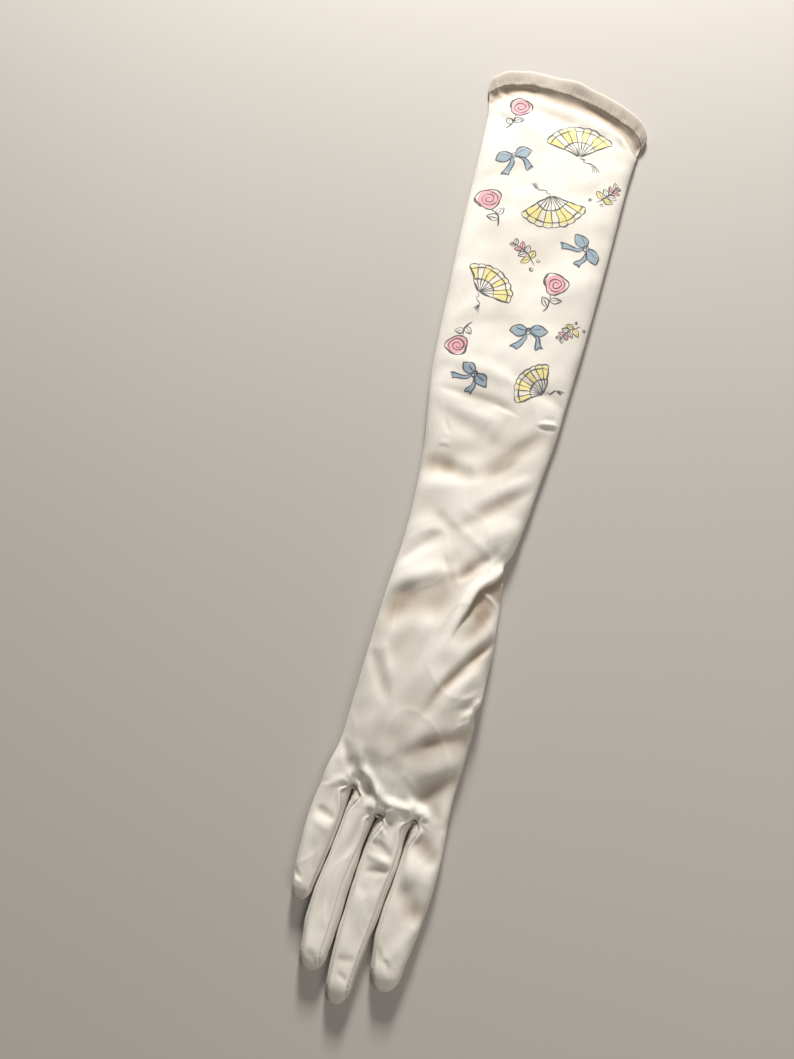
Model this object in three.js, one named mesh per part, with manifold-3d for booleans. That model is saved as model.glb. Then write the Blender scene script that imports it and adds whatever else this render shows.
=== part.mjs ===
// A long dress glove for the right hand, lying back up and empty on a flat surface, its thumb folded
// flat under the palm. It is sewn from a back and a palm panel, three folded strips between the
// fingers, a thumb and a hem round the cuff.
//
// Millimetres, +Z up. The glove runs along Y, its cuff towards +Y and its fingertips towards -Y. The
// origin is on the surface, under the middle of the outline.

import * as THREE from "three";
import { mergeVertices } from "three/addons/utils/BufferGeometryUtils.js";
import Module from "manifold-3d";

const wasm = await Module();
wasm.setup();

// Driving dimensions

const CLOTH = 1.4; // one layer of cloth
const HEM_CLOTH = 2; // the hem's doubled cloth
const HEM_PROUD = 0.3; // how far the hem stands above the cloth beside it
const HEM_DEPTH = 11; // from the cuff's edge to the hem's stitch line
const SEAM_GAP = 0.4; // between two sewn pieces
const HEM_GAP = 0.8; // between hem and panels, measured along the glove
const SEAM_HEIGHT = 1.9; // side seams above the surface
const FULLNESS = 0.5; // 0 gives the upper side an elliptic section, more a squarer one
const FINGER_THICK = 9.5;
const BACK_SEAM = THREE.MathUtils.degToRad(28); // how high up a finger's side the back panel ends
const PALM_SEAM = THREE.MathUtils.degToRad(20); // how far under it the palm panel ends
const FINGER_COLUMNS = { back: 6, palm: 4 }; // facets across one finger
const FOLD_FADE = 0.9; // share of the half width where the folds start to fade into the side seams

// Turns rows of numbers into rows of named columns.
const table = (names, rows) => rows.map((row) => Object.fromEntries(names.map((name, i) => [name, row[i]])));

// Outline of sleeve and hand: both edges and the height of the upper side, down to the knuckles.
const OUTLINE = table(
  ["y", "left", "right", "top"],
  [
    [300, -58.2, 59.2, 9],
    [282, -56.4, 58.8, 9.5],
    [268, -53.8, 57.9, 10],
    [257, -52.4, 55.4, 10.5],
    [229, -50.7, 53.1, 11],
    [167, -48.2, 51.5, 11.5],
    [106, -44.4, 49.3, 11.5],
    [62, -41.4, 46.8, 11.5],
    [33, -37.1, 45.2, 11],
    [6, -32.8, 42.0, 11],
    [-21, -30.3, 39.3, 11.5],
    [-44, -29.6, 35.8, 12.5],
    [-54, -29.6, 32.2, 13],
    [-60, -30.0, 33.8, 13.5],
    [-84, -31.2, 36.0, 16.2],
    [-108, -32.0, 37.8, 16.9],
    [-133, -32.4, 37.9, 16.9],
    [-139, -32.5, 35.9, 16.8],
    [-146, -32.6, 37.2, 16.5],
    [-165, -32.8, 36.6, 15.6],
    [-178, -33.8, 35.8, 13.8],
    [-188, -35.4, 35.4, 12],
    [-197, -37.2, 35.4, 10.5],
  ],
);

// The cuff's slanted, bowed edge: height along the glove at each place across it, -1 left to 1 right.
const CUFF_EDGE = table(
  ["across", "y"],
  [
    [-1, 291],
    [-0.8, 297],
    [-0.5, 300],
    [-0.1, 299],
    [0.3, 293.5],
    [0.65, 286],
    [0.85, 280.5],
    [0.94, 276],
    [1, 272],
  ],
);

// Where the fingers part: the outer edges at the knuckles and the three crotches between them.
const KNUCKLES = table(
  ["x", "y"],
  [
    [-37.2, -197],
    [-19.2, -193.9],
    [-0.8, -204.9],
    [17.6, -202.6],
    [35.4, -195],
  ],
);

// Edges of each finger down to where its tip starts to round off. rollLeft and rollRight are the
// angles that the back panel's seams reach in the middle of the finger, 0 on an outer edge.
const fingerRows = (rows) => table(["y", "left", "right"], rows);
const FINGERS = [
  {
    tip: { x: -31.4, y: -257 },
    rollLeft: 0,
    rollRight: 28,
    rows: fingerRows([
      [-195, -36.9, -19.8],
      [-206, -38.5, -20.9],
      [-218, -39.3, -21.8],
      [-231, -38.9, -23.4],
      [-243, -38.2, -25.3],
      [-249, -37.4, -26.2],
    ]),
  },
  {
    tip: { x: -16.4, y: -288.5 },
    rollLeft: 28,
    rollRight: 58,
    rows: fingerRows([
      [-199, -18.8, -1.3],
      [-208, -20.1, -3.9],
      [-221, -21.0, -6.0],
      [-235, -23.0, -7.0],
      [-249, -24.8, -7.7],
      [-263, -25.3, -8.1],
      [-277, -24.0, -9.6],
    ]),
  },
  {
    tip: { x: 0.4, y: -300 },
    rollLeft: 28,
    rollRight: 42,
    rows: fingerRows([
      [-204, -0.2, 17.1],
      [-212, -3.6, 14.6],
      [-226, -5.0, 14.4],
      [-240, -6.0, 12.8],
      [-254, -6.6, 11.2],
      [-268, -7.1, 9.3],
      [-288, -6.4, 7.0],
    ]),
  },
  {
    tip: { x: 22.6, y: -288 },
    rollLeft: 28,
    rollRight: 0,
    rows: fingerRows([
      [-200, 18.1, 35.4],
      [-208, 16.4, 36.2],
      [-222, 15.6, 36.7],
      [-236, 14.4, 36.2],
      [-250, 12.8, 34.8],
      [-262, 12.2, 33.1],
      [-275, 13.7, 30.9],
    ]),
  },
];

// The thumb under the palm, and its mouth, which is also the palm panel's hole.
const THUMB = {
  top: 7.6,
  cloth: 1.1,
  endLength: 9,
  sides: 16,
  rows: table(
    ["y", "left", "right"],
    [
      [-80, 2, 24],
      [-100, 0, 25],
      [-125, 0, 23.5],
      [-150, 0, 21],
      [-169, 1, 18.5],
    ],
  ),
};
const MOUTH = { x: 12.5, y: -100, halfWidth: 7.5, halfLength: 23, sides: 20 };
const THUMB_BED = { height: 8, slopeAcross: 11, slopeAlong: 13 }; // how the palm climbs over the thumb

// Folds and dents of the back: a line from one place to another, its width, and its height, which
// is negative for a dent. The last column is a step: how much lower the cloth lies on the line's
// right-hand side as it runs, fading out over five widths.
const FOLDS = table(
  ["x0", "y0", "x1", "y1", "width", "height", "step"],
  [
    [33, -53, 21, -80, 5, 1.6, 2.2],
    [21, -80, 16, -116, 6, 0.6, 1.2],
    [36, -97, 11, -141, 6, -1.2, 0],
    [33, -112, 20, -138, 8, 1.1, 0],
    [34, -152, 14, -168, 13, -1.8, 0],
    [36, -134, 28, -150, 4, 1.4, 0],
    [-26, -94, -3, -66, 9, -1.6, 0],
    [-29, -76, -4, -50, 8, 1.3, 0],
    [-27, -58, -14, -43, 8, -1.2, 0],
    [-28, -122, -14, -142, 8, -1.1, 0],
    [8, -66, 25, -48, 6, -1.0, 0],
    [-22, -182, 16, -194, 9, 1.0, 0],
    [-25, 32, 6, 20, 11, -1.2, 0],
    [-20, 2, 30, 26, 14, -1.2, 0],
    [-30, 68, 10, 62, 9, 0.9, 0],
    [10, 66, 44, 54, 7, -0.7, 0],
    [-20, 130, 30, 175, 24, -0.9, 0],
    [-44, 272, 52, 252, 9, -1.0, 0],
  ],
);

// How densely the rows of facets lie along sleeve and hand, from the hem to the knuckles.
const ROW_BANDS = table(
  ["from", "to", "rows"],
  [
    [285, 62, 10],
    [62, -30, 7],
    [-30, -160, 17],
    [-160, -197, 5],
  ],
);
const FINGER_STATIONS = [0, 0.015, 0.12, 0.26, 0.42, 0.6, 0.8, 1]; // from the knuckles to the rounded tip
const FINGER_ROWS = FINGER_STATIONS.length - 1;
const TIP_ANGLES = [28, 52, 72, 90].map(THREE.MathUtils.degToRad);

// Numbers worked out from the tables

const KNUCKLE_STATION = ROW_BANDS.at(-1).to;
const CUFF_STATION = ROW_BANDS[0].from;
const KNUCKLE_MEAN = KNUCKLES.reduce((sum, { y }) => sum + y, 0) / KNUCKLES.length;
const KNUCKLE_REACH = 45; // how far up the hand the rows follow the slant of the knuckles
const CUFF_REACH = 150; // how far down the sleeve the rows follow the slant of the cuff
const ARCH_REACH = { back: 24, palm: 11 }; // how far the fingers' arches run up into each panel

const clamp = THREE.MathUtils.clamp;
const lerp = THREE.MathUtils.lerp;
const smooth = (t) => THREE.MathUtils.smoothstep(t, 0, 1);

// A smooth curve through a table's rows: gives every other column at a value of the key column,
// held at the first and last row. The slopes never overshoot the rows.
function curveThrough(rows, key) {
  const sorted = [...rows].sort((a, b) => a[key] - b[key]);
  const keys = sorted.map((row) => row[key]);
  const columns = Object.keys(sorted[0]).filter((name) => name !== key);
  const secant = (name, i) => (sorted[i + 1][name] - sorted[i][name]) / (keys[i + 1] - keys[i]);
  const slope = (name, i) => {
    if (i === 0) return secant(name, 0);
    if (i === keys.length - 1) return secant(name, i - 1);
    const before = secant(name, i - 1);
    const after = secant(name, i);
    return before * after <= 0 ? 0 : (2 * before * after) / (before + after);
  };
  return (value) => {
    const at = clamp(value, keys[0], keys.at(-1));
    let i = 0;
    while (i < keys.length - 2 && at > keys[i + 1]) i += 1;
    const width = keys[i + 1] - keys[i];
    const t = (at - keys[i]) / width;
    const hermite = (name) =>
      (1 + 2 * t) * (1 - t) ** 2 * sorted[i][name] +
      t * (1 - t) ** 2 * width * slope(name, i) +
      t * t * (3 - 2 * t) * sorted[i + 1][name] +
      t * t * (t - 1) * width * slope(name, i + 1);
    return Object.fromEntries(columns.map((name) => [name, hermite(name)]));
  };
}

const outlineAt = curveThrough(OUTLINE, "y");
const cuffEdgeAt = curveThrough(CUFF_EDGE, "across");
const thumbAt = curveThrough(THUMB.rows, "y");
for (const finger of FINGERS) finger.at = curveThrough(finger.rows, "y");

// Middle and half width of a row with a left and a right edge.
const span = ({ left, right }) => ({ middle: (left + right) / 2, half: (right - left) / 2 });

// Height on a flattened round section, depth under its outer face. The angle is 0 at the right edge,
// 90 degrees on top, 180 at the left edge, and negative on the flat underside.
function sectionHeight({ half, top }, angle, depth) {
  const sine = Math.sin(angle);
  if (sine >= 0) {
    return SEAM_HEIGHT + (top - depth - SEAM_HEIGHT) * sine * (1 + FULLNESS * Math.cos(angle) ** 2);
  }
  return Math.max(depth, SEAM_HEIGHT + underReach(half, depth) * sine);
}

// Height of the ellipse whose lower edge rounds off under a section's side seams.
function underReach(half, depth) {
  const low = SEAM_HEIGHT - depth;
  return low / Math.sqrt(1 - (1 - low / (half - depth)) ** 2);
}

// The angle that moves a point of a section by half a seam gap along the cloth, on the upper side
// or, where side is -1, on the underside.
function gapAngle({ half, top }, angle, side) {
  const rise = side > 0 ? top - SEAM_HEIGHT : underReach(half, CLOTH);
  return SEAM_GAP / 2 / (half * Math.abs(Math.sin(angle)) + rise * Math.abs(Math.cos(angle)));
}

// Height that one fold adds at a place.
function foldHeight(fold, x, y) {
  const length = Math.hypot(fold.x1 - fold.x0, fold.y1 - fold.y0);
  const ux = (fold.x1 - fold.x0) / length;
  const uy = (fold.y1 - fold.y0) / length;
  const along = (x - fold.x0) * ux + (y - fold.y0) * uy;
  const off = (x - fold.x0) * -uy + (y - fold.y0) * ux;
  const past = Math.max(0, -along, along - length);
  const crest = Math.exp(-((off ** 2 + past ** 2) / (fold.width / 1.66) ** 2));
  const side = off > 0 ? smooth(off / fold.width) * smooth(2.5 - off / fold.width / 2) : 0;
  const run = Math.exp(-((past / fold.width) ** 2));
  return fold.height * crest - fold.step * side * run;
}

// Height of all folds at a place, fading out at the side seams.
function foldsAt(x, y, across) {
  const fade = smooth((1 - Math.abs(across)) / (1 - FOLD_FADE));
  return fade * FOLDS.reduce((sum, fold) => sum + foldHeight(fold, x, y), 0);
}

// How high the palm panel lies at a place where it climbs over the thumb.
function bedAt(x, y, across) {
  const { middle, half } = span(thumbAt(y));
  const ends = [THUMB.rows[0].y, THUMB.rows.at(-1).y];
  const offAcross = Math.max(0, Math.abs(x - middle) - half) / THUMB_BED.slopeAcross;
  const offAlong = Math.max(0, y - ends[0] - THUMB.endLength, ends[1] - THUMB.endLength - y);
  const off = Math.hypot(offAcross, offAlong / THUMB_BED.slopeAlong);
  return THUMB_BED.height * smooth(1.05 - off) * smooth((1 - Math.abs(across)) / (1 - FOLD_FADE));
}

// A point of sleeve or hand: y along the glove, angle round it, depth under its outer face.
function handPoint(y, angle, depth) {
  const row = outlineAt(y);
  const { middle, half } = span(row);
  const across = Math.cos(angle);
  const x = middle + (half - depth) * across;
  const z = sectionHeight({ half, top: row.top }, angle, depth);
  const extra = Math.sin(angle) > 0 ? foldsAt(x, y, across) : bedAt(x, y, across);
  return new THREE.Vector3(x, y, z + extra);
}

// A point of a finger: y along it, tip the angle round its rounded end, 0 before that.
function fingerPoint(finger, y, tip, angle, depth) {
  const { middle, half } = span(finger.at(y));
  const shrink = Math.cos(tip);
  const top = FINGER_THICK;
  const x = lerp(middle, finger.tip.x, Math.sin(tip)) + (half - depth) * shrink * Math.cos(angle);
  const z = SEAM_HEIGHT + (sectionHeight({ half, top }, angle, depth) - SEAM_HEIGHT) * shrink;
  const reach = finger.rows.at(-1).y - finger.tip.y;
  return new THREE.Vector3(x, y - (reach - depth) * Math.sin(tip), z);
}

// Where row i of a finger lies at a place across it, -1 left to 1 right.
function fingerRow(index, i, across) {
  const finger = FINGERS[index];
  const base = lerp(KNUCKLES[index].y, KNUCKLES[index + 1].y, (across + 1) / 2);
  const end = finger.rows.at(-1).y;
  if (i > FINGER_ROWS) return { y: end, tip: TIP_ANGLES[i - FINGER_ROWS - 1] };
  const t = FINGER_STATIONS[i];
  return { y: lerp(lerp(base, end, t), lerp(KNUCKLE_MEAN, end, t), smooth(2.5 * t)), tip: 0 };
}

// The back panel's seam angle on one side of a finger: it rises from the crotch to the middle of the
// finger and sinks to the side edge at the tip.
function backSeam(index, side, { y, tip }) {
  const finger = FINGERS[index];
  const roll = THREE.MathUtils.degToRad(side < 0 ? finger.rollLeft : finger.rollRight);
  const crotch = KNUCKLES[side < 0 ? index : index + 1].y;
  const base = Math.min(roll, BACK_SEAM);
  return lerp(base, roll, smooth((crotch - y - 4) / 34)) * smooth(1.15 - tip / 1.1);
}

const palmSeam = (index, side, place) =>
  backSeam(index, side, place) > 0 ? PALM_SEAM * smooth(1.15 - place.tip / 1.1) : 0;

// A thin sheet of cloth: facets on its outer face, the same on its inner face, and a wall along
// every free edge.
class Sheet {
  constructor() {
    this.points = [];
    this.faces = [];
  }

  // Adds a point given as a function of depth and returns its number.
  point(at, thickness = CLOTH, proud = 0) {
    this.points.push([at(-proud), at(thickness - proud)]);
    return this.points.length - 1;
  }

  // Adds a facet of three or four corners, counter-clockwise from outside.
  face(...corners) {
    const ring = corners.filter((corner, i) => corner !== corners[(i + 1) % corners.length]);
    for (let i = 2; i < ring.length; i += 1) this.faces.push([ring[0], ring[i - 1], ring[i]]);
  }

  // Joins two rows of points of equal length.
  rows(upper, lower) {
    for (let j = 0; j + 1 < upper.length; j += 1) this.face(upper[j], lower[j], lower[j + 1], upper[j + 1]);
  }

  geometry() {
    const vertices = this.points.flatMap(([outer, inner]) => [...outer.toArray(), ...inner.toArray()]);
    const used = new Set(this.faces.flatMap((f) => f.map((a, i) => `${a} ${f[(i + 1) % 3]}`)));
    const index = [];
    for (const [a, b, c] of this.faces) {
      index.push(2 * a, 2 * b, 2 * c, 2 * c + 1, 2 * b + 1, 2 * a + 1);
      for (const [p, q] of [[a, b], [b, c], [c, a]]) {
        if (used.has(`${q} ${p}`)) continue;
        index.push(2 * q, 2 * p, 2 * p + 1, 2 * q, 2 * p + 1, 2 * q + 1);
      }
    }
    const geometry = new THREE.BufferGeometry();
    geometry.setAttribute("position", new THREE.Float32BufferAttribute(vertices, 3));
    geometry.setIndex(index);
    return geometry;
  }
}

// Stations along sleeve and hand, from the hem's stitch line to the knuckles.
const STATIONS = ROW_BANDS.flatMap(({ from, to, rows }) =>
  Array.from({ length: rows }, (_, i) => lerp(from, to, i / rows)),
).concat(KNUCKLE_STATION);

// Place along the glove of a station at a place across it: the rows follow the cuff's edge at one
// end and the knuckles at the other.
function stationY(station, across, knuckleY) {
  const cuff = cuffEdgeAt(across).y - HEM_DEPTH - CUFF_STATION;
  const toCuff = smooth(1 - (CUFF_STATION - station) / CUFF_REACH);
  const toKnuckle = smooth(1 - (station - KNUCKLE_STATION) / KNUCKLE_REACH);
  return station + toCuff * cuff + toKnuckle * (knuckleY - KNUCKLE_STATION);
}

// One of the two large panels: sleeve, hand and four half fingers. side is 1 for the back, -1 for
// the palm. Columns run from the left edge to the right, so faces of the palm turn round.
function largePanel(side) {
  const sheet = new Sheet();
  const perFinger = side > 0 ? FINGER_COLUMNS.back : FINGER_COLUMNS.palm;
  const archReach = side > 0 ? ARCH_REACH.back : ARCH_REACH.palm;
  const seam = side > 0 ? backSeam : palmSeam;
  const count = 4 * perFinger;
  const join = (upper, lower) => {
    if (side > 0) sheet.rows(upper, lower);
    else sheet.rows([...upper].reverse(), [...lower].reverse());
  };

  // Angle of a finger's column between its two seams, and the point there.
  const fingerAngle = (index, place, across) => {
    const body = { ...span(FINGERS[index].at(place.y)), top: FINGER_THICK };
    const shrink = Math.max(0.15, Math.cos(place.tip));
    const left = seam(index, -1, place);
    const right = seam(index, 1, place);
    const from = Math.PI - left - gapAngle(body, left, side) / shrink;
    const to = right + gapAngle(body, right, side) / shrink;
    return side * lerp(from, to, (across + 1) / 2);
  };

  const knuckle = (j) => {
    const index = Math.min(3, Math.floor(j / perFinger));
    const across = (2 * (j - index * perFinger)) / perFinger - 1;
    const { y } = fingerRow(index, 0, across);
    const place = { y, tip: 0 };
    const crotch = j % perFinger === 0 && j > 0 && j < count ? j / perFinger : 0;
    const at = (depth) => {
      const one = fingerPoint(FINGERS[index], y, 0, fingerAngle(index, place, across), depth);
      if (!crotch) return one;
      const other = fingerPoint(FINGERS[index - 1], y, 0, fingerAngle(index - 1, place, 1), depth);
      one.lerp(other, 0.5);
      return one.setY(y + SEAM_GAP + depth);
    };
    return { y, at, x: at(0).x };
  };
  const knuckles = Array.from({ length: count + 1 }, (_, j) => knuckle(j));

  // Sleeve and hand.
  const rows = STATIONS.map((station) =>
    knuckles.map((end, j) => {
      const evenly = -Math.cos((Math.PI * j) / count);
      const { middle, half } = span(outlineAt(KNUCKLE_STATION));
      const ending = clamp((end.x - middle) / half, -1, 1);
      const across = lerp(evenly, ending, smooth((-30 - station) / 140));
      const y = stationY(station, across, end.y) - (station === CUFF_STATION ? HEM_GAP / 2 : 0);
      const above = (station - KNUCKLE_STATION) / archReach;
      const arch = above > 1 ? 0 : (1 - above) ** 2;
      const body = { ...span(outlineAt(y)), top: outlineAt(y).top };
      const gap = gapAngle(body, 0, 1);
      const angle = side * clamp(Math.acos(across), gap, Math.PI - gap);
      return sheet.point((depth) => {
        const plain = handPoint(y, angle, depth);
        if (arch === 0) return plain;
        const arched = end.at(depth);
        return plain.lerp(new THREE.Vector3(arched.x, lerp(y, arched.y, arch), arched.z), arch);
      });
    }),
  );
  rows.slice(1).forEach((row, i) => join(rows[i], row));

  // Fingers.
  FINGERS.forEach((finger, index) => {
    let above = rows.at(-1).slice(index * perFinger, (index + 1) * perFinger + 1);
    for (let i = 1; i <= FINGER_ROWS + TIP_ANGLES.length; i += 1) {
      const last = i === FINGER_ROWS + TIP_ANGLES.length;
      const columns = Array.from({ length: perFinger + 1 }, (_, j) => (2 * j) / perFinger - 1);
      const tipPoint = (depth) =>
        fingerPoint(finger, fingerRow(index, i, 0).y, Math.PI / 2, 0, depth).add(
          new THREE.Vector3(0, 0, (side * SEAM_GAP) / 2),
        );
      const row = last
        ? Array(perFinger + 1).fill(sheet.point(tipPoint))
        : columns.map((across) => {
            const place = fingerRow(index, i, across);
            const angle = fingerAngle(index, place, across);
            return sheet.point((depth) => fingerPoint(finger, place.y, place.tip, angle, depth));
          });
      join(above, row);
      above = row;
    }
  });
  return sheet.geometry();
}

// The strip between two fingers: down the right side of one, round the crotch, along the left side
// of the next. It ends where its two seams meet near each tip.
function fourchette(index) {
  const sheet = new Sheet();
  const across = 3;
  const lastRow = FINGER_ROWS + 2;
  const station = (finger, side, i) => {
    const place = fingerRow(finger, i, side);
    const body = { ...span(FINGERS[finger].at(place.y)), top: FINGER_THICK };
    const top = backSeam(finger, side, place);
    const bottom = palmSeam(finger, side, place);
    const from = top - gapAngle(body, top, 1) / Math.cos(place.tip);
    const to = -(bottom - gapAngle(body, bottom, -1) / Math.cos(place.tip));
    return Array.from({ length: across + 1 }, (_, j) => {
      const angle = lerp(from, to, j / across);
      const round = side > 0 ? angle : Math.PI - angle;
      return (depth) => fingerPoint(FINGERS[finger], place.y, place.tip, round, depth);
    });
  };
  const crotch = KNUCKLES[index + 1];
  const turn = station(index, 1, 1).map((at, j) => (depth) => {
    const { z } = at(depth);
    const inward = j === 0 ? -0.5 : j === across ? 0.35 : 0;
    return new THREE.Vector3(crotch.x, crotch.y - SEAM_GAP + depth, z + inward);
  });
  const stations = [];
  for (let i = lastRow; i >= 1; i -= 1) stations.push(station(index, 1, i));
  stations.push(turn);
  for (let i = 1; i <= lastRow; i += 1) stations.push(station(index + 1, -1, i));
  const rows = stations.map((row) => row.map((at) => sheet.point((depth) => at(depth))));
  rows.slice(1).forEach((row, i) => sheet.rows(row, rows[i]));
  return sheet.geometry();
}

// The hem: a ring of doubled cloth from the stitch line to the cuff's edge.
function hem() {
  const sheet = new Sheet();
  const half = (columns, from) => Array.from({ length: columns }, (_, j) => -from - (Math.PI * j) / columns);
  const angles = [...half(4 * FINGER_COLUMNS.palm, 0), ...half(4 * FINGER_COLUMNS.back, Math.PI)];
  const rows = [HEM_GAP / 2, HEM_DEPTH / 2, HEM_DEPTH].map((up) =>
    angles.map((angle) => {
      const across = Math.cos(angle);
      const y = cuffEdgeAt(across).y - HEM_DEPTH + up;
      const at = (depth) => {
        const point = handPoint(y, angle, depth);
        return point.setZ(Math.max(point.z, Math.max(0, depth)));
      };
      return sheet.point(at, HEM_CLOTH, HEM_PROUD);
    }),
  );
  const closed = rows.map((row) => [...row, row[0]]);
  closed.slice(1).forEach((row, i) => sheet.rows(row, closed[i]));
  return sheet.geometry();
}

// A manifold-3d solid from a closed geometry, and back.
function toSolid(geometry) {
  const bare = new THREE.BufferGeometry();
  bare.setAttribute("position", geometry.getAttribute("position").clone());
  if (geometry.index) bare.setIndex(geometry.index.clone());
  const merged = mergeVertices(bare, 1e-4);
  const mesh = new wasm.Mesh({
    numProp: 3,
    vertProperties: new Float32Array(merged.getAttribute("position").array),
    triVerts: new Uint32Array(merged.index.array),
  });
  return new wasm.Manifold(mesh);
}

function toGeometry(solid) {
  const mesh = solid.getMesh();
  const geometry = new THREE.BufferGeometry();
  geometry.setAttribute("position", new THREE.BufferAttribute(mesh.vertProperties.slice(), 3));
  geometry.setIndex(new THREE.BufferAttribute(mesh.triVerts.slice(), 1));
  return geometry;
}

// The cutter of the thumb's mouth, from the middle of the thumb to above the palm's cloth.
function mouthCutter() {
  const shape = new THREE.Shape();
  shape.absellipse(MOUTH.x, MOUTH.y, MOUTH.halfWidth, MOUTH.halfLength, 0, 2 * Math.PI);
  const options = { depth: 2 * THUMB.top, bevelEnabled: false, curveSegments: MOUTH.sides };
  return toSolid(new THREE.ExtrudeGeometry(shape, options).translate(0, 0, THUMB.top / 2));
}

// One closed skin of the thumb, depth under its outer face: rings along it and a point at each end.
function thumbSkin(depth) {
  const first = THUMB.rows[0].y;
  const last = THUMB.rows.at(-1).y;
  const rounding = [90, 60, 30].map(THREE.MathUtils.degToRad);
  const places = [
    ...rounding.map((tip) => ({ y: first, tip: -tip })),
    ...[0, 0.25, 0.5, 0.75, 1].map((t) => ({ y: lerp(first, last, t), tip: 0 })),
    ...[...rounding].reverse().map((tip) => ({ y: last, tip })),
  ];
  const rings = places.map(({ y, tip }) => {
    const { middle, half } = span(thumbAt(y));
    const shrink = Math.max(0.02, Math.cos(tip));
    return Array.from({ length: THUMB.sides }, (_, j) => {
      const angle = (-2 * Math.PI * j) / THUMB.sides;
      const height = sectionHeight({ half, top: THUMB.top }, angle, depth);
      return [
        middle + (half - depth) * shrink * Math.cos(angle),
        y - (THUMB.endLength - depth) * Math.sin(tip),
        SEAM_HEIGHT + (height - SEAM_HEIGHT) * shrink,
      ];
    });
  });
  const vertices = rings.flat(2);
  const index = [];
  const id = (ring, j) => ring * THUMB.sides + (j % THUMB.sides);
  for (let ring = 0; ring + 1 < rings.length; ring += 1) {
    for (let j = 0; j < THUMB.sides; j += 1) {
      index.push(id(ring, j), id(ring + 1, j + 1), id(ring, j + 1));
      index.push(id(ring, j), id(ring + 1, j), id(ring + 1, j + 1));
    }
  }
  for (let j = 1; j + 1 < THUMB.sides; j += 1) {
    index.push(id(0, 0), id(0, j), id(0, j + 1));
    index.push(id(rings.length - 1, 0), id(rings.length - 1, j + 1), id(rings.length - 1, j));
  }
  const geometry = new THREE.BufferGeometry();
  geometry.setAttribute("position", new THREE.Float32BufferAttribute(vertices, 3));
  geometry.setIndex(index);
  return toSolid(geometry);
}

const mouth = mouthCutter();
const thumb = () => toGeometry(thumbSkin(0).subtract(thumbSkin(THUMB.cloth)).subtract(mouth));
const palmPanel = () => toGeometry(toSolid(largePanel(-1)).subtract(mouth));

const clothMaterial = (color) => new THREE.MeshStandardMaterial({ color, roughness: 0.85, metalness: 0 });

const PIECES = [
  ["back_panel", largePanel(1), "#eee9dd"],
  ["palm_panel", palmPanel(), "#ebe5d8"],
  ["fourchette_little_ring", fourchette(0), "#e6e0d2"],
  ["fourchette_ring_middle", fourchette(1), "#e6e0d2"],
  ["fourchette_middle_index", fourchette(2), "#e6e0d2"],
  ["thumb", thumb(), "#eae4d7"],
  ["hem", hem(), "#f1ecdf"],
];

const glove = new THREE.Group();
for (const [name, geometry, color] of PIECES) {
  const mesh = new THREE.Mesh(geometry, clothMaterial(color));
  mesh.name = name;
  glove.add(mesh);
}

export default glove;
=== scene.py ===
"""The looks of a long dress glove lying back up on a pale floor.

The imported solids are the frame. Every piece of cloth is worked out again here as a fine surface from
the same sizes, in millimetres, and stands for its solid: back and palm panel, the strips between the
fingers, the thumb and the hem. Stitches and the drawn pattern lie on the cloth.
"""

import logging
import math
from dataclasses import dataclass, field
from enum import Enum
from typing import Callable, ClassVar

import bpy
import numpy as np
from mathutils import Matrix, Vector


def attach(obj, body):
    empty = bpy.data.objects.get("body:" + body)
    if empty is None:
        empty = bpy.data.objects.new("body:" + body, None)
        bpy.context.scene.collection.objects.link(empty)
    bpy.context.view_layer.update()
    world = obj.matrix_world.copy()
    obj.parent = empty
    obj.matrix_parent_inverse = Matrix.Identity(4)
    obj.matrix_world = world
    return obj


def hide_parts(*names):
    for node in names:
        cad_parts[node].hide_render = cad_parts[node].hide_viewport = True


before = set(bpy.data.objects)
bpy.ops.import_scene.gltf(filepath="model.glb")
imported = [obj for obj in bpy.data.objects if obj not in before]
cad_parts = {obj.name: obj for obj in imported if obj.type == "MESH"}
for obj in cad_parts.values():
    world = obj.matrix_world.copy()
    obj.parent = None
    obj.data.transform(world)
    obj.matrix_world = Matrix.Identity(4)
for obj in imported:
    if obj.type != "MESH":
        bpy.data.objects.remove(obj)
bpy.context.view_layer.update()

LOG = logging.getLogger("glove")
MM = 0.001

Array = np.ndarray
Fold = tuple[float, float, float, float, float, float]

# Driving sizes, as in the part's source

SEAM_HEIGHT = 1.9  # of the side seams over the floor
FULLNESS = 0.5  # how square the sections' arch is
FINGER_THICK = 9.5
BACK_SEAM = math.radians(28)
PALM_SEAM = math.radians(20)
FOLD_FADE = 0.9  # share of the half width where the large folds start to fade
HEM_DEPTH = 11.0

# Sizes of this script alone: the cloth, its seams, and how far folds and gathers reach

CLOTH_THICK, STRIP_THICK = 0.9, 0.8
SEAM_GAP = 0.05  # between two sewn edges
EYE = (0, 30, 26, 26, 0)  # degrees that the seams open round each crotch
EYE_OPENS, EYE_ENDS, EYE_CLOSES = 4.5, 17, 12  # and how far down the finger
UNDER_DEPTH = 1.6  # no layer's underside is rounded deeper than this
FOLD_BELL = 1.66  # makes a fold half as high at half its width
FOLD_TAPER = 0.4  # how much narrower a fold is at its ends, and how far it runs on past them
FOLD_CLEAR = 3.5  # the finer folds have their full height this far from a seam
LEAN_CLEAR = 9  # and the rolled folds their full lean
# the darker tone is painted shade
DEEP_FOLD = 2.2  # a fold this deep takes the whole of the darker tone
UPPER_FROM, UPPER_OVER = 4, 2  # the gathers come in from this height up, over this much
RAY_HEIGHT, RAY_AWAY, RAY_WIDE = 0.2, 5.0, 2.6  # rays of drawn cloth: height, way out from the crotch
ROLL_FROM, ROLL_OVER = 4, 34  # a seam rolls to its own angle from this far below the crotch, over this much
MEET_FROM, MEET_OVER = 1.15, 1.1  # the seams close up round the tip, by its angle in radians
SLANT_FADE = 2.5  # the rows down a finger lose the knuckles' slant in the first 1 / 2.5 of it
BED_RIM = 1.05  # the thumb's bed ends this far out, as a share of its slopes
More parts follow.
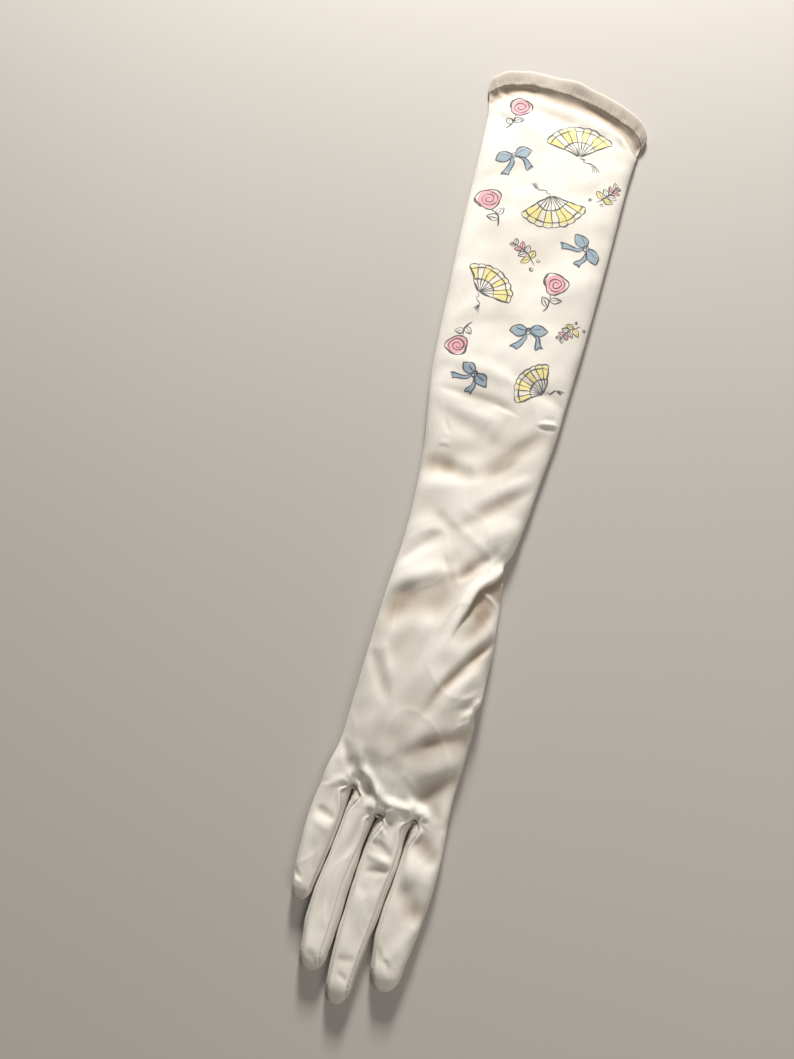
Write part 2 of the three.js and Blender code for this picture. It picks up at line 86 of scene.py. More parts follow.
ARC = 0.85  # length along a finger's section, for each radian and half width
SEAM_ARC = 0.8  # the same where it starts, at the seam's gap
SIDE_ARC = 1 + FULLNESS  # the same beside a side seam, for each radian and height of the arch

# The outline and the large folds, as in the part's source

OUTLINE = [  # y, left, right, top
    (300, -58.2, 59.2, 9), (282, -56.4, 58.8, 9.5), (268, -53.8, 57.9, 10), (257, -52.4, 55.4, 10.5),
    (229, -50.7, 53.1, 11), (167, -48.2, 51.5, 11.5), (106, -44.4, 49.3, 11.5), (62, -41.4, 46.8, 11.5),
    (33, -37.1, 45.2, 11), (6, -32.8, 42.0, 11), (-21, -30.3, 39.3, 11.5), (-44, -29.6, 35.8, 12.5),
    (-54, -29.6, 32.2, 13), (-60, -30.0, 33.8, 13.5), (-84, -31.2, 36.0, 16.2), (-108, -32.0, 37.8, 16.9),
    (-133, -32.4, 37.9, 16.9), (-139, -32.5, 35.9, 16.8), (-146, -32.6, 37.2, 16.5),
    (-165, -32.8, 36.6, 15.6), (-178, -33.8, 35.8, 13.8), (-188, -35.4, 35.4, 12),
    (-197, -37.2, 35.4, 10.5),
]
CUFF_EDGE = [  # across, y
    (-1, 291), (-0.8, 297), (-0.5, 300), (-0.1, 299), (0.3, 293.5), (0.65, 286), (0.85, 280.5),
    (0.94, 276), (1, 272),
]
KNUCKLES = np.array([(-37.2, -197), (-19.2, -193.9), (-0.8, -204.9), (17.6, -202.6), (35.4, -195)], float)
CROTCHES = KNUCKLES[1:-1]

FOLDS = [  # x0, y0, x1, y1, width, height
    (36, -97, 11, -141, 6, -1.2),
    (33, -112, 20, -138, 8, 1.1),
    (34, -152, 14, -168, 13, -1.8),
    (36, -134, 28, -150, 4, 1.4),
    (-26, -64, -11.6, -47.7, 7, -1.6),
    (1, -66.5, -28.2, -80.5, 9, 0.9),
    (4, -79, -24, -94, 17, -1.8),
    (-28, -122, -14, -142, 8, -1.1),
    (8, -66, 25, -48, 6, -1.0),
    (-22, -182, 16, -194, 9, 1.0),
    (-25, 32, 6, 20, 11, -1.2),
    (-20, 2, 30, 26, 14, -1.2),
    (-30, 68, 10, 62, 9, 0.9),
    (10, 66, 44, 54, 7, -0.7),
    (-20, 130, 30, 175, 24, -0.9),
    (-44, 272, 52, 252, 9, -1.0),
]

# Finer folds than the solids have, in the same columns

CREASES = [
    # the ridge in the hollow under the wrist's rolled fold, and soft places round it
    (22.4, -71.8, 32, -77.6, 2.4, 0.9),
    (31.5, -59.5, 25.5, -67.5, 4.6, -1.2),
    (21.5, -77, 25.3, -89, 7, -0.8),
    (31, -84, 22, -100, 6.5, -0.8),
    (23, -52.4, 8, -68, 4.5, -0.8),
    (14, -62, 9, -69, 3, -0.5),
    (-2.3, -59.3, 6.1, -73.4, 4, -0.5),
    (33, -29, 15, -45, 9, 0.8),
    # the second groove and its lobe
    (36, -98, 14, -131, 4.6, -1.4),
    (17, -126, 9, -147, 5, -0.5),
    (33, -107, 24, -119, 3.6, 0.6),
    (22, -126, 12, -142, 3.2, 0.4),
    # the notch at the side of the hand
    (35.6, -135, 31.5, -149, 2.2, 0.8),
    (36, -140, 28.6, -147, 2.2, -0.9),
    (33, -129, 24, -139, 3.0, 0.5),
    # hollows and ridges of the hand
    (26, -157, 14, -163, 6, -0.8),
    (14, -163, 2, -172, 7, -0.9),
    (19, -188, 32, -176, 8, -1.3),
    (-3, -178, 2, -180, 7, -0.5),
    (0, -71, -20, -84, 9, -1.0),
    (-18, -82, -25, -102, 9, -1.1),
    (-27.5, -124, -16, -143, 6, -0.5),
    (-22, -118, -10, -146, 4.5, 0.4),
    (-6, -92, 8, -130, 9, 0.4),
    (-2, -36, 24, -52, 5, 0.5),
    # hollows of the lower sleeve
    (-26, -0.5, -2, -3, 8, -0.6),
    (26, 22, 4, -4, 7, -0.5),
    # drawn cloth above the crotches and up the little finger's side
    (-18, -186.5, -31, -196, 4, 0.9),
    (-6, -197, 4, -198.6, 9, 2.0),
    (-7, -201.6, 6, -202.2, 5, 1.6),
    (13, -199.6, 21, -199.6, 4.5, 1.0),
    (-12.5, -190.5, -9, -198.5, 5, -1.0),
    (-21, -186.5, -15, -187.5, 8, 0.9),
    (13, -196.8, 22, -197.2, 8, 1.2),
    (-29.5, -174.5, -24, -184.5, 4.4, -1.0),
    (-15.5, -189, -8, -196.4, 4, -1.0),
    (0.5, -195, 11.5, -196, 3.8, -1.1),
    (15, -190, 28, -197.5, 6, -0.6),
    # little finger
    (-33, -210.5, -26.5, -213, 4.2, -1.0),
    (-35, -216, -27, -219, 4, 0.35),
    (-38.5, -242, -34.5, -245.5, 2.2, -0.6),
    (-37, -247, -33, -248, 2.2, 0.35),
    (-31, -228, -28, -240, 3.4, -0.4),
    # ring finger
    (-9.5, -208, -13, -226, 3.6, -0.6),
    (-10, -220, -16, -252, 4.4, 0.6),
    (-7.5, -245, -13, -258, 5, -0.8),
    (-13, -259, -13.3, -268, 4, -0.6),
    (-20, -278.5, -15, -280.5, 2.2, -0.6),
    (-18, -284, -15, -284.5, 1.8, 0.4),
    # middle finger
    (-2.5, -218, 0.5, -220.5, 2.0, -0.6),
    (2, -219, 8.5, -223.3, 3.8, -0.9),
    (-1, -225.4, 9, -227.6, 3.6, 0.8),
    (0.5, -233.4, 10.5, -230.8, 3.4, -1.0),
    (-2, -242, 2, -244, 4.5, -0.35),
    (3.5, -248, 7, -253, 5, -0.45),
    (-3, -278, 4, -276.8, 3.4, -0.5),
    (-1, -284.5, 3, -286.5, 2.2, -0.55),
    (9.5, -213, 10.5, -232, 2.2, -0.5),
    # index finger
    (22.5, -212, 31, -219.5, 9, -1.7),
    (21.5, -239, 29, -248, 9.5, -1.7),
    (21, -229, 32, -231, 8, 0.6),
    (14.6, -268, 16.6, -273, 3.4, -0.5),
    (20.3, -273, 22.6, -276, 2.4, -0.8),
    (23, -280.5, 26, -279, 2.4, 0.4),
    (19.5, -222, 21.5, -236, 4, 0.4),
    (29, -258, 24, -268, 5, 0.4),
    # wrist and forearm
    (-27, -5.5, -15, -2.5, 9, -0.8),
    (-15, -4, -2, -6, 9, -1.1),
    (-27, -19, -10, -14, 9, 0.6),
    (33, -8, 3, -37, 8, -1.3),
    (33, 1, 9, -20, 7, 0.7),
    (-12, -34.5, -4, -39, 6, -0.6),
    (34, 29, 14, 3, 9, -1.1),
    (24, 10, 12, -2, 5, -0.5),
    (7.8, 20, 13.6, 36, 6, -0.45),
    (-24, 11.2, -18, 11.9, 1.6, 0.45),
    (-24, 9.2, -18, 9.9, 1.8, -0.4),
    (-23.5, 26, -19.7, 20, 2.8, -0.4),
    # the soft crease across the sleeve and the short sharp one at its right edge
    (-28, 47, 12, 44.4, 5.5, -0.75),
    (5, 44, 17, 41, 2.6, -0.45),
    (-22, 35, 4, 33, 8, 0.5),
    (32.5, 38.6, 42.6, 41.2, 1.8, 0.8),
    (33, 36, 42.6, 38.4, 1.8, -0.5),
    (35, 43, 40.5, 44.4, 1.6, -0.3),
    # the sleeve's soft diagonals
    (-36, 150, 0, 178, 12, -0.4),
    (10, 118, 44, 146, 11, 0.4),
    (-34, 92, 20, 108, 10, -0.4),
    (-44, 205, -10, 222, 9, -0.35),
    (20, 214, 48, 236, 9, 0.35),
    # puckers at the cuff's corners
    (-50, 281, -41, 270, 2.2, 0.7),
    (-46, 283, -36, 273, 1.8, -0.6),
    (-43.6, 258.4, -31.6, 252.9, 2.6, -0.7),
    (-44, 262, -33, 257, 2.2, 0.4),
    (44, 262, 52, 251, 2.2, -0.6),
    (38, 262, 45, 253, 2.2, 0.4),
]

# Gathered lips and knots of cloth round the three crotches, in the same columns

KNOTS = [
    # little and ring finger: a round knot over a dark eye, and a lobe under it
    (-18.6, -192.6, -17.4, -192.0, 2.4, 1.3),
    (-22.6, -193.4, -21.4, -190.6, 1.8, 0.6),
    (-16.9, -199.4, -16.4, -201.6, 1.9, 0.7),
    (-18.4, -196.6, -17.4, -197.4, 1.3, -0.6),
    # ring and middle finger: a lip curled over like an ear
    (-5.4, -203.2, -1.6, -201.2, 1.9, 0.7),
    (-1.6, -201.2, 1.6, -203.4, 1.8, 0.8),
    (1.0, -206.5, 1.4, -209.0, 1.5, 0.5),
    (1.5, -211.5, 3.5, -214.0, 1.8, 0.5),
    # middle and index finger: a long gathered eye
    (13.6, -203.4, 15.4, -200.0, 1.6, 0.6),
    (15.4, -200.0, 18.6, -199.2, 1.7, 0.7),
    (18.6, -199.2, 20.4, -202.6, 1.6, 0.7),
    (19.8, -209.0, 19.4, -212.0, 1.5, 0.4),
]


@dataclass(frozen=True)
class Roll:
    """A rolled fold: the cloth on one side of a line stands higher and leans over the other side.

    Attributes:
        line: the line's places, from its strong end to its weak end.
        crest: height of the rolled edge.
        step: how much lower the under layer lies.
        hollow: depth of the shaded hollow right under the edge.
        lean: how far the edge leans over.
        width: half the width of the rolled edge.
        reach: how far out the under layer stays low.
        holds: share of the line along which it keeps its strength.
        grows: share of the line along which it gains it, or 0 if it comes in over the edge.
    """

    line: tuple[tuple[float, float], ...]
    crest: float
    step: float
    hollow: float
    lean: float
    width: float
    reach: float
    holds: float
    grows: float = 0.0


ROLLS = (
    Roll(((36, -50), (33.6, -53), (31.7, -56.2), (30.3, -59.5), (27.5, -64.4), (22.6, -68.9),
          (19.5, -73.5), (17.9, -78.5), (16, -86.5), (14.4, -91.4), (12.4, -100.4), (10, -112)),
         1.8, 2.1, 1.3, 1.7, 2.6, 10, 0.45),
    Roll(((37.5, -132), (33.5, -141), (31, -150)), 0.3, 0.3, 0.3, 0.8, 2.2, 4, 0.3),
    Roll(((30, -205), (22.6, -200.9), (18.2, -198.4), (14.7, -198), (9.3, -199), (3.5, -198.4),
          (-0.9, -198.6), (-4.3, -196.6), (-8.3, -193), (-12.9, -188.8), (-17.8, -184.6), (-25, -168)),
         1.4, 0.1, 0.1, 0.3, 2.6, 4, 0.7, 0.25),
)


@dataclass(frozen=True)
class Finger:
    """One finger: its tip, how far the back panel's seams climb, and its edges down to the tip.

    Attributes:
        tip: x and y of the fingertip.
        roll_left: degrees that the left seam reaches up the side.
        roll_right: the same on the right.
        rows: y, left edge and right edge.
    """

    tip: tuple[float, float]
    roll_left: float
    roll_right: float
    rows: tuple[tuple[float, float, float], ...]


FINGERS = (
    Finger((-31.4, -257), 0, 28, (
        (-195, -36.9, -19.8), (-206, -38.5, -20.9), (-218, -39.3, -21.8), (-231, -38.9, -23.4),
        (-243, -38.2, -25.3), (-249, -37.4, -26.2))),
    Finger((-16.4, -288.5), 28, 58, (
        (-199, -18.8, -1.3), (-208, -20.1, -3.9), (-221, -21.0, -6.0), (-235, -23.0, -7.0),
        (-249, -24.8, -7.7), (-263, -25.3, -8.1), (-277, -24.0, -9.6))),
    Finger((0.4, -300), 28, 42, (
        (-204, -0.2, 17.1), (-212, -3.6, 14.6), (-226, -5.0, 14.4), (-240, -6.0, 12.8),
        (-254, -6.6, 11.2), (-268, -7.1, 9.3), (-288, -6.4, 7.0))),
    Finger((22.6, -288), 28, 0, (
        (-200, 18.1, 35.4), (-208, 16.4, 36.2), (-222, 15.6, 36.7), (-236, 14.4, 36.2),
        (-250, 12.8, 34.8), (-262, 12.2, 33.1), (-275, 13.7, 30.9))),
)
FINGER_COUNT = len(FINGERS)
THUMB_ROWS = [(-80, 2, 24), (-100, 0, 25), (-125, 0, 23.5), (-150, 0, 21), (-169, 1, 18.5)]
THUMB_TOP = 7.6
THUMB_END = 9.0
MOUTH = (12.5, -100.0, 7.5, 23.0)  # x, y, half width, half length
BED = (8.0, 11.0, 13.0)  # height, slope across, slope along


def smooth(t: Array | float) -> Array:
    """A soft step from 0 to 1: three times t squared less twice t cubed."""
    t = np.clip(t, 0.0, 1.0)
    return t * t * (3 - 2 * t)


def lerp(a: Array | float, b: Array | float, t: Array | float) -> Array:
    """The straight mix of a and b."""
    return a + (b - a) * t


def bell(off: Array, wide: Array | float) -> Array:
    """A bell of height 1: e to the power of minus the square of the offset over the width."""
    return np.exp(-((off / wide) ** 2))


def running_mean(heights: Array, reach: int, axis: int) -> Array:
    """The mean of each place and its neighbours along an axis, weighed by a bell.

    Args:
        heights: rows by columns.
        reach: how many neighbours on each side take part.
        axis: 0 down the columns, 1 along the rows.

    Returns:
        The means, in the same shape.
    """
    kernel = bell(np.arange(-reach, reach + 1), reach / 2)
    kernel /= kernel.sum()
    padded = np.pad(heights, [(reach, reach) if k == axis else (0, 0) for k in (0, 1)], mode="edge")
    count = heights.shape[axis]
    return sum(k * padded.take(range(i, i + count), axis) for i, k in enumerate(kernel))


def on_top(height: Array) -> Array:
    """1 on the upper side, and softly down to 0 where the cloth turns to the floor."""
    return smooth((height - UPPER_FROM) / UPPER_OVER)


class Curve:
    """A smooth curve through a table's rows that never overshoots them.

    Between two rows it is a cubic whose end slopes are the harmonic means of the secants beside them.
    """

    def __init__(self, rows: list | tuple) -> None:
        """Sorts the rows by their first column and works out the slopes.

        Args:
            rows: rows of numbers, the key first.
        """
        table = np.array(sorted(rows), float)
        self.keys, self.values = table[:, 0], table[:, 1:]
        secant = np.diff(self.values, axis=0) / np.diff(self.keys)[:, None]
        before, after = secant[:-1], secant[1:]
        total = np.where(np.abs(before + after) < 1e-12, 1.0, before + after)
        middle = np.where(before * after > 0, 2 * before * after / total, 0.0)
        self.slopes = np.vstack([secant[:1], middle, secant[-1:]])

    def __call__(self, at: Array | float) -> Array:
        """The other columns at some keys.

        Args:
            at: keys of any shape.

        Returns:
            One array of that shape for each column.
        """
        at = np.clip(np.asarray(at, float), self.keys[0], self.keys[-1])
        i = np.clip(np.searchsorted(self.keys, at, side="right") - 1, 0, len(self.keys) - 2)
        width = (self.keys[i + 1] - self.keys[i])[..., None]
        t = (at - self.keys[i])[..., None] / width
        value = (
            (1 + 2 * t) * (1 - t) ** 2 * self.values[i]
            + t * (1 - t) ** 2 * width * self.slopes[i]
            + t * t * (3 - 2 * t) * self.values[i + 1]
            + t * t * (t - 1) * width * self.slopes[i + 1]
        )
        return np.moveaxis(value, -1, 0)


outline_at = Curve(OUTLINE)
cuff_edge_at = Curve(CUFF_EDGE)
thumb_at = Curve(THUMB_ROWS)
finger_at = [Curve(f.rows) for f in FINGERS]


def body_at(y: Array) -> tuple[Array, Array, Array]:
    """Middle, half width and top of sleeve or hand at y."""
    left, right, top = outline_at(y)
    return (left + right) / 2, (right - left) / 2, top


def under_reach(half: Array, depth: Array | float) -> Array:
    """Height of the ellipse whose lower edge rounds off under the side seams."""
    low = SEAM_HEIGHT - depth
    return low / np.sqrt(1 - (1 - low / (half - depth)) ** 2)


def section_height(half: Array, top: Array | float, angle: Array, depth: Array | float) -> Array:
    """Height on a flattened round section: a squared arch on top, a rounded flat underneath.

    Args:
        half: half the section's width.
        top: its height.
        angle: 0 at the right edge, a quarter turn on top, negative underneath.
        depth: how far under the outer face.

    Returns:
        The heights.
    """
    sine = np.sin(angle)
    upper = SEAM_HEIGHT + (top - depth - SEAM_HEIGHT) * sine * (1 + FULLNESS * np.cos(angle) ** 2)
    under = under_reach(half, np.minimum(depth, UNDER_DEPTH))
    lower = np.maximum(depth, SEAM_HEIGHT + under * sine)
    return np.where(sine >= 0, upper, lower)


def fold_height(fold: Fold, x: Array, y: Array) -> Array:
    """Height that one fold adds: a bell across its line, lower and narrower towards the line's ends.

    Args:
        fold: both ends of its line, its width and its height.
        x: places across.
        y: places along.

    Returns:
        The heights.
    """
    x0, y0, x1, y1, width, height = fold
    length = math.hypot(x1 - x0, y1 - y0)
    ux, uy = (x1 - x0) / length, (y1 - y0) / length
    along = (x - (x0 + x1) / 2) * ux + (y - (y0 + y1) / 2) * uy
    off = (x - x0) * -uy + (y - y0) * ux
    strength = np.exp(-((along / (length / 2 + FOLD_TAPER * width)) ** 4))
    return height * strength * bell(FOLD_BELL * off / width, lerp(1 - FOLD_TAPER, 1, strength))


def folds_at(folds: list[Fold], x: Array, y: Array) -> Array:
    """Height of all folds of a table.

    Args:
        folds: the table.
        x: places across.
        y: places along.

    Returns:
        The heights.
    """
    total = np.zeros(np.broadcast(x, y).shape)
    for fold in folds:
        total += fold_height(fold, x, y)
    return total


def ripple(x: Array, y: Array, short: float, long: float, seed: int, waves: int = 22) -> Array:
    """Soft uneven ground of about unit height: a sum of plane waves in all directions.

    Args:
        x: places across.
        y: places along.
        short: shortest wave length.
        long: longest wave length.
        seed: picks the waves.
        waves: how many.

    Returns:
        The heights.
    """
    rng = np.random.default_rng(seed)
    total = np.zeros(np.broadcast(x, y).shape)
    for _ in range(waves):
        turn, phase = rng.uniform(0, 2 * math.pi, 2)
        k = 2 * math.pi / rng.uniform(short, long)
        total += np.sin(k * (x * math.cos(turn) + y * math.sin(turn)) + phase)
    return total / math.sqrt(waves / 2)


def crinkle(x: Array, y: Array, short: float, long: float, seed: int) -> Array:
    """Thin raised creases that wander over the cloth: a high power of one less a ripple's size."""
    return np.clip(1 - np.abs(ripple(x, y, short, long, seed)), 0, 1) ** 6


def ease(x: Array, y: Array) -> Array:
    """The cloth's own unevenness: slow swells everywhere, and more creases towards the hand.

    Args:
        x: places across.
        y: places along.

    Returns:
        The heights.
    """
    to_hand = smooth((70 - y) / 150)
    swell = 0.20 * ripple(x, y, 26, 60, 3) + 0.09 * ripple(x, y * 0.8, 11, 22, 5)
    creases = crinkle(x, y * 0.7, 30, 70, 8) - 0.25
    return swell * lerp(0.8, 1.4, to_hand) + creases * lerp(0.10, 0.25, to_hand)


@dataclass
class RollField:
    """Where places lie beside a rolled fold.

    Attributes:
        PIECES: straight pieces that the smoothed line is cut into.
        FAR: further than any place.
        roll: the fold.
        off: distance from its line, positive over the under layer.
        strength: how strong the fold is there.
        normal: the unit vector across the line, as two arrays.
    """

    PIECES: ClassVar[int] = 48
    FAR: ClassVar[float] = 1e9

    roll: Roll
    off: Array
    strength: Array
    normal: tuple[Array, Array]

    @classmethod
    def at(cls, roll: Roll, x: Array, y: Array) -> "RollField":
        """Finds the nearest place of the fold's smoothed line.

        Args:
            roll: the fold.
            x: places across.
            y: places along.

        Returns:
            The field, positive on the under layer's side.
        """
        given = np.array(roll.line)
        run = np.concatenate([[0], np.cumsum(np.hypot(*np.diff(given, axis=0).T))])
        through = Curve(np.column_stack([run, given]).tolist())
        line = np.stack(through(np.linspace(0, run[-1], cls.PIECES + 1)), -1)
        best = np.full(x.shape, cls.FAR)
        off, at, nx, ny = (np.zeros(x.shape) for _ in range(4))
        # the first piece runs on past its start, unless the fold grows from there
        for k, (start, step) in enumerate(zip(line, np.diff(line, axis=0))):
            length = math.hypot(*step)
            ux, uy = step / length
            along = (x - start[0]) * ux + (y - start[1]) * uy
            along = np.clip(along, 0 if k or roll.grows else -cls.FAR, length)
            away = np.hypot(x - start[0] - along * ux, y - start[1] - along * uy)
            near = away < best
            side = (x - start[0]) * -uy + (y - start[1]) * ux
            best = np.where(near, away, best)
            off = np.where(near, np.where(side >= 0, away, -away), off)
            at = np.where(near, (k + along / length) / cls.PIECES, at)
            nx, ny = np.where(near, -uy, nx), np.where(near, ux, ny)
        strength = smooth((1 - at) / (1 - roll.holds))
        if roll.grows:
            strength = strength * smooth(at / roll.grows)
        return cls(roll, off, strength, (nx, ny))

    def height(self) -> Array:
        """The rolled edge as a bell, a step down beyond it, and the hollow at the step's foot.

        Returns:
            The heights.
        """
        roll, u = self.roll, self.off / self.roll.width
        # each place and width below is a share of the edge's half width
        crest = roll.crest * bell(u + 0.55, 0.9)
        step = roll.step * smooth(u + 0.4) * smooth(2.0 - self.off / roll.reach)
        hollow = roll.hollow * bell(u - 0.85, 0.6) * self.strength
        return self.strength * (crest - step - hollow)

    def shift(self) -> tuple[Array, Array]:
        """The moves across and along: the edge goes out over the hollow and the hollow's floor under it.

        Returns:
            The two moves.
        """
        u = self.off / self.roll.width
        over = bell(u + 0.25, 0.75) - 0.7 * bell(u - 1.1, 0.7)
        move = self.roll.lean * self.strength * over
        return move * self.normal[0], move * self.normal[1]


@dataclass(frozen=True)
class HemValley:
    """The valley beside the hem: gently down the hem, steeply down past its line, and up the sleeve.

    Attributes:
        deep: its depth.
        uneven: how much the depth comes and goes across the sleeve.
        floor: how far its floor lies past the hem's stitch line.
        sway: how much that comes and goes.
        rise: length of the slope up the sleeve.
        steep: share of the depth that lies past the stitch line.
    """

    deep: float = 3.3
    uneven: float = 0.5
    floor: float = 5.5
    sway: float = 0.9
    rise: float = 9.0
    steep: float = 0.58

    def height(self, x: Array, y: Array) -> Array:
        """Height of the valley at some places, 0 or less.

        Args:
            x: places across.
            y: places along.

        Returns:
            The heights.
        """
        middle, half, _ = body_at(y)
        below = cuff_edge_at(np.clip((x - middle) / half, -1, 1))[0] - HEM_DEPTH - y
        deep = self.deep + self.uneven * np.sin(x / 11 - 1.6)
        floor = self.floor + self.sway * np.sin(x / 8.5 + 2)
        down = lerp(smooth(1 + below / HEM_DEPTH), smooth((below + 0.5) / floor), self.steep)
        return -deep * np.minimum(down, smooth(1 - (below - floor) / self.rise))


def relief(x: Array, y: Array) -> Array:
    """Height of the finer folds, the rolled folds and the cloth's unevenness together.

    Args:
        x: places across.
        y: places along.

    Returns:
        The heights.
    """
    total = folds_at(CREASES, x, y) + ease(x, y) + HemValley().height(x, y)
    for roll in ROLLS:
        total += RollField.at(roll, x, y).height()
    return total


def gathers(x: Array, y: Array) -> Array:
    """Height of the lips round the crotches, with short rays of drawn cloth about each.

    Args:
        x: places across.
        y: places along.

    Returns:
        The heights.
    """
    total = folds_at(KNOTS, x, y)
    for k, (a, b) in enumerate(CROTCHES):
        away = np.hypot(x - a, y - b)
        turn = np.arctan2(y - b, x - a)
        rays = np.sin(9 * turn + 2 * k) + 0.6 * np.sin(5 * turn + k)
        total += RAY_HEIGHT * rays * bell(away - RAY_AWAY, RAY_WIDE)
    return total


def bed_at(x: Array, y: Array, across: Array) -> Array:
    """How high the palm panel lies where it climbs over the thumb.

    Args:
        x: places across.
        y: places along.
        across: the same as x, -1 at the left edge to 1 at the right.

    Returns:
        The heights, largest over the thumb's middle and 0 off it.
    """
    left, right = thumb_at(y)
    off_across = np.maximum(0, np.abs(x - (left + right) / 2) - (right - left) / 2) / BED[1]
    first, last = THUMB_ROWS[0][0], THUMB_ROWS[-1][0]
    off_along = np.maximum(0, np.maximum(y - first - THUMB_END, last - THUMB_END - y)) / BED[2]
    off = np.hypot(off_across, off_along)
    return BED[0] * smooth(BED_RIM - off) * smooth((1 - np.abs(across)) / (1 - FOLD_FADE))


def hand_point(y: Array, angle: Array, depth: Array | float) -> Array:
    """Points of sleeve or hand: the section's edge, with the folds on top or the thumb's bed below.

    Args:
        y: places along.
        angle: 0 at the right edge, a quarter turn on top, negative underneath.
        depth: how far under the outer face.

    Returns:
        The points, one row of three numbers each.
    """
    middle, half, top = body_at(y)
    across = np.cos(angle)
    x = middle + (half - depth) * across
    z = section_height(half, top, angle, depth)
    fade = smooth((1 - np.abs(across)) / (1 - FOLD_FADE))
    extra = np.where(np.sin(angle) > 0, fade * folds_at(FOLDS, x, y), bed_at(x, y, across))
    return np.stack([x, y + 0 * x, z + extra], -1)


def finger_point(index: int, y: Array, tip: Array, angle: Array, depth: Array | float) -> Array:
    """Points of a finger: its section at y, which shrinks to the tip as the tip's angle opens.

    Args:
        index: which finger.
        y: places along.
        tip: 0 down the finger, a quarter turn at its very end.
        angle: 0 at the right edge, a quarter turn on top, negative underneath.
        depth: how far under the outer face.

    Returns:
        The points, one row of three numbers each.
    """
    left, right = finger_at[index](y)
    middle, half = (left + right) / 2, (right - left) / 2
    shrink = np.cos(tip)
    tip_x, tip_y = FINGERS[index].tip
    x = lerp(middle, tip_x, np.sin(tip)) + (half - depth) * shrink * np.cos(angle)
    z = SEAM_HEIGHT + (section_height(half, FINGER_THICK, angle, depth) - SEAM_HEIGHT) * shrink
    reach = FINGERS[index].rows[-1][0] - tip_y
    return np.stack([x, y - (reach - depth) * np.sin(tip) + 0 * x, z + 0 * x], -1)


def before_tip(tip: Array) -> Array:
    """1 down the finger, and softly down to 0 where a fingertip's two seams meet."""
    return smooth(MEET_FROM - tip / MEET_OVER)


def back_seam(index: int, edge: int, y: Array, tip: Array) -> Array:
    """The back panel's seam angle on one side of a finger, from crotch to tip.

    Args:
        index: which finger.
        edge: -1 left, 1 right.
        y: places along.
        tip: the tip's angles.

    Returns:
        How far up the side the seam lies, in radians.
    """
    finger = FINGERS[index]
    roll = math.radians(finger.roll_left if edge < 0 else finger.roll_right)
    below = KNUCKLES[index + (edge > 0), 1] - y
    eye = math.radians(EYE[index + (edge > 0)]) * smooth(below / EYE_OPENS)
    eye = eye * smooth((EYE_ENDS - below) / EYE_CLOSES)
    settled = lerp(min(roll, BACK_SEAM), roll, smooth((below - ROLL_FROM) / ROLL_OVER))
    return (settled + eye * (roll > 0)) * before_tip(tip)


def palm_seam(index: int, edge: int, y: Array, tip: Array) -> Array:
    """The palm panel's seam angle under one side of a finger."""
    rolled = FINGERS[index].roll_left if edge < 0 else FINGERS[index].roll_right
    return PALM_SEAM * before_tip(tip) * (rolled > 0) + 0 * y


def knuckle_y(index: int, across: Array) -> Array:
    """Where the knuckle line lies at places across a finger, -1 left to 1 right."""
    return lerp(KNUCKLES[index, 1], KNUCKLES[index + 1, 1], (across + 1) / 2)


def finger_places(index: int, across: Array, stations: Array, tips: Array) -> tuple[Array, Array]:
    """Rows down a finger: y and the tip's angle on a grid of rows by columns.

    Args:
        index: which finger.
        across: columns, -1 left to 1 right.
        stations: rows down to the tip, 0 to 1.
        tips: angles of the rows round the tip.

    Returns:
        The two grids.
    """
    mean = KNUCKLES[:, 1].mean()
    end = FINGERS[index].rows[-1][0]
    t = stations[:, None]
    y = lerp(lerp(knuckle_y(index, across), end, t), lerp(mean, end, t), smooth(SLANT_FADE * t))
    y = np.vstack([y, np.full((len(tips), len(across)), end)])
    tip = np.concatenate([np.zeros(len(stations)), tips])[:, None] + 0 * y
    return y, tip


@dataclass
class Quilt:
    """Grids of points that share rows, gathered into one mesh."""

    points: list[Array] = field(default_factory=list)
    uvs: list[Array] = field(default_factory=list)
    faces: list[Array] = field(default_factory=list)
    count: int = 0

    def add(self, points: Array, uv: Array) -> Array:
        """Adds a grid of points.

        Args:
            points: the grid.
            uv: a UV place for each.

        Returns:
            Their vertex numbers, in the grid's shape.
        """
        shape = points.shape[:-1]
        size = int(np.prod(shape))
        self.points.append(points.reshape(-1, 3))
        self.uvs.append(uv.reshape(-1, 2))
        numbers = np.arange(self.count, self.count + size).reshape(shape)
        self.count += size
        return numbers

    def join(self, numbers: Array, turned: bool = False) -> None:
        """Puts a quad between every four neighbours of a grid of vertex numbers.

        Args:
            numbers: rows by columns; rows run away from the viewer's top and columns to the right.
            turned: makes the faces look the other way.
        """
        a, b = numbers[:-1, :-1], numbers[1:, :-1]
        c, d = numbers[1:, 1:], numbers[:-1, 1:]
        ring = [a, d, c, b] if turned else [a, b, c, d]
        self.faces.append(np.stack([p.ravel() for p in ring], -1))

    def build(self, name: str, keep: Array | slice = slice(None)) -> bpy.types.Object:
        """Makes the mesh, in metres, smooth shaded, with a UV map in metres.

        Args:
            name: the piece's name.
            keep: which faces to keep.

        Returns:
            The object, linked to the scene.
        """
        points, uv = np.vstack(self.points) * MM, np.vstack(self.uvs) * MM
        return mesh_of(name, points, np.vstack(self.faces)[keep], uv)


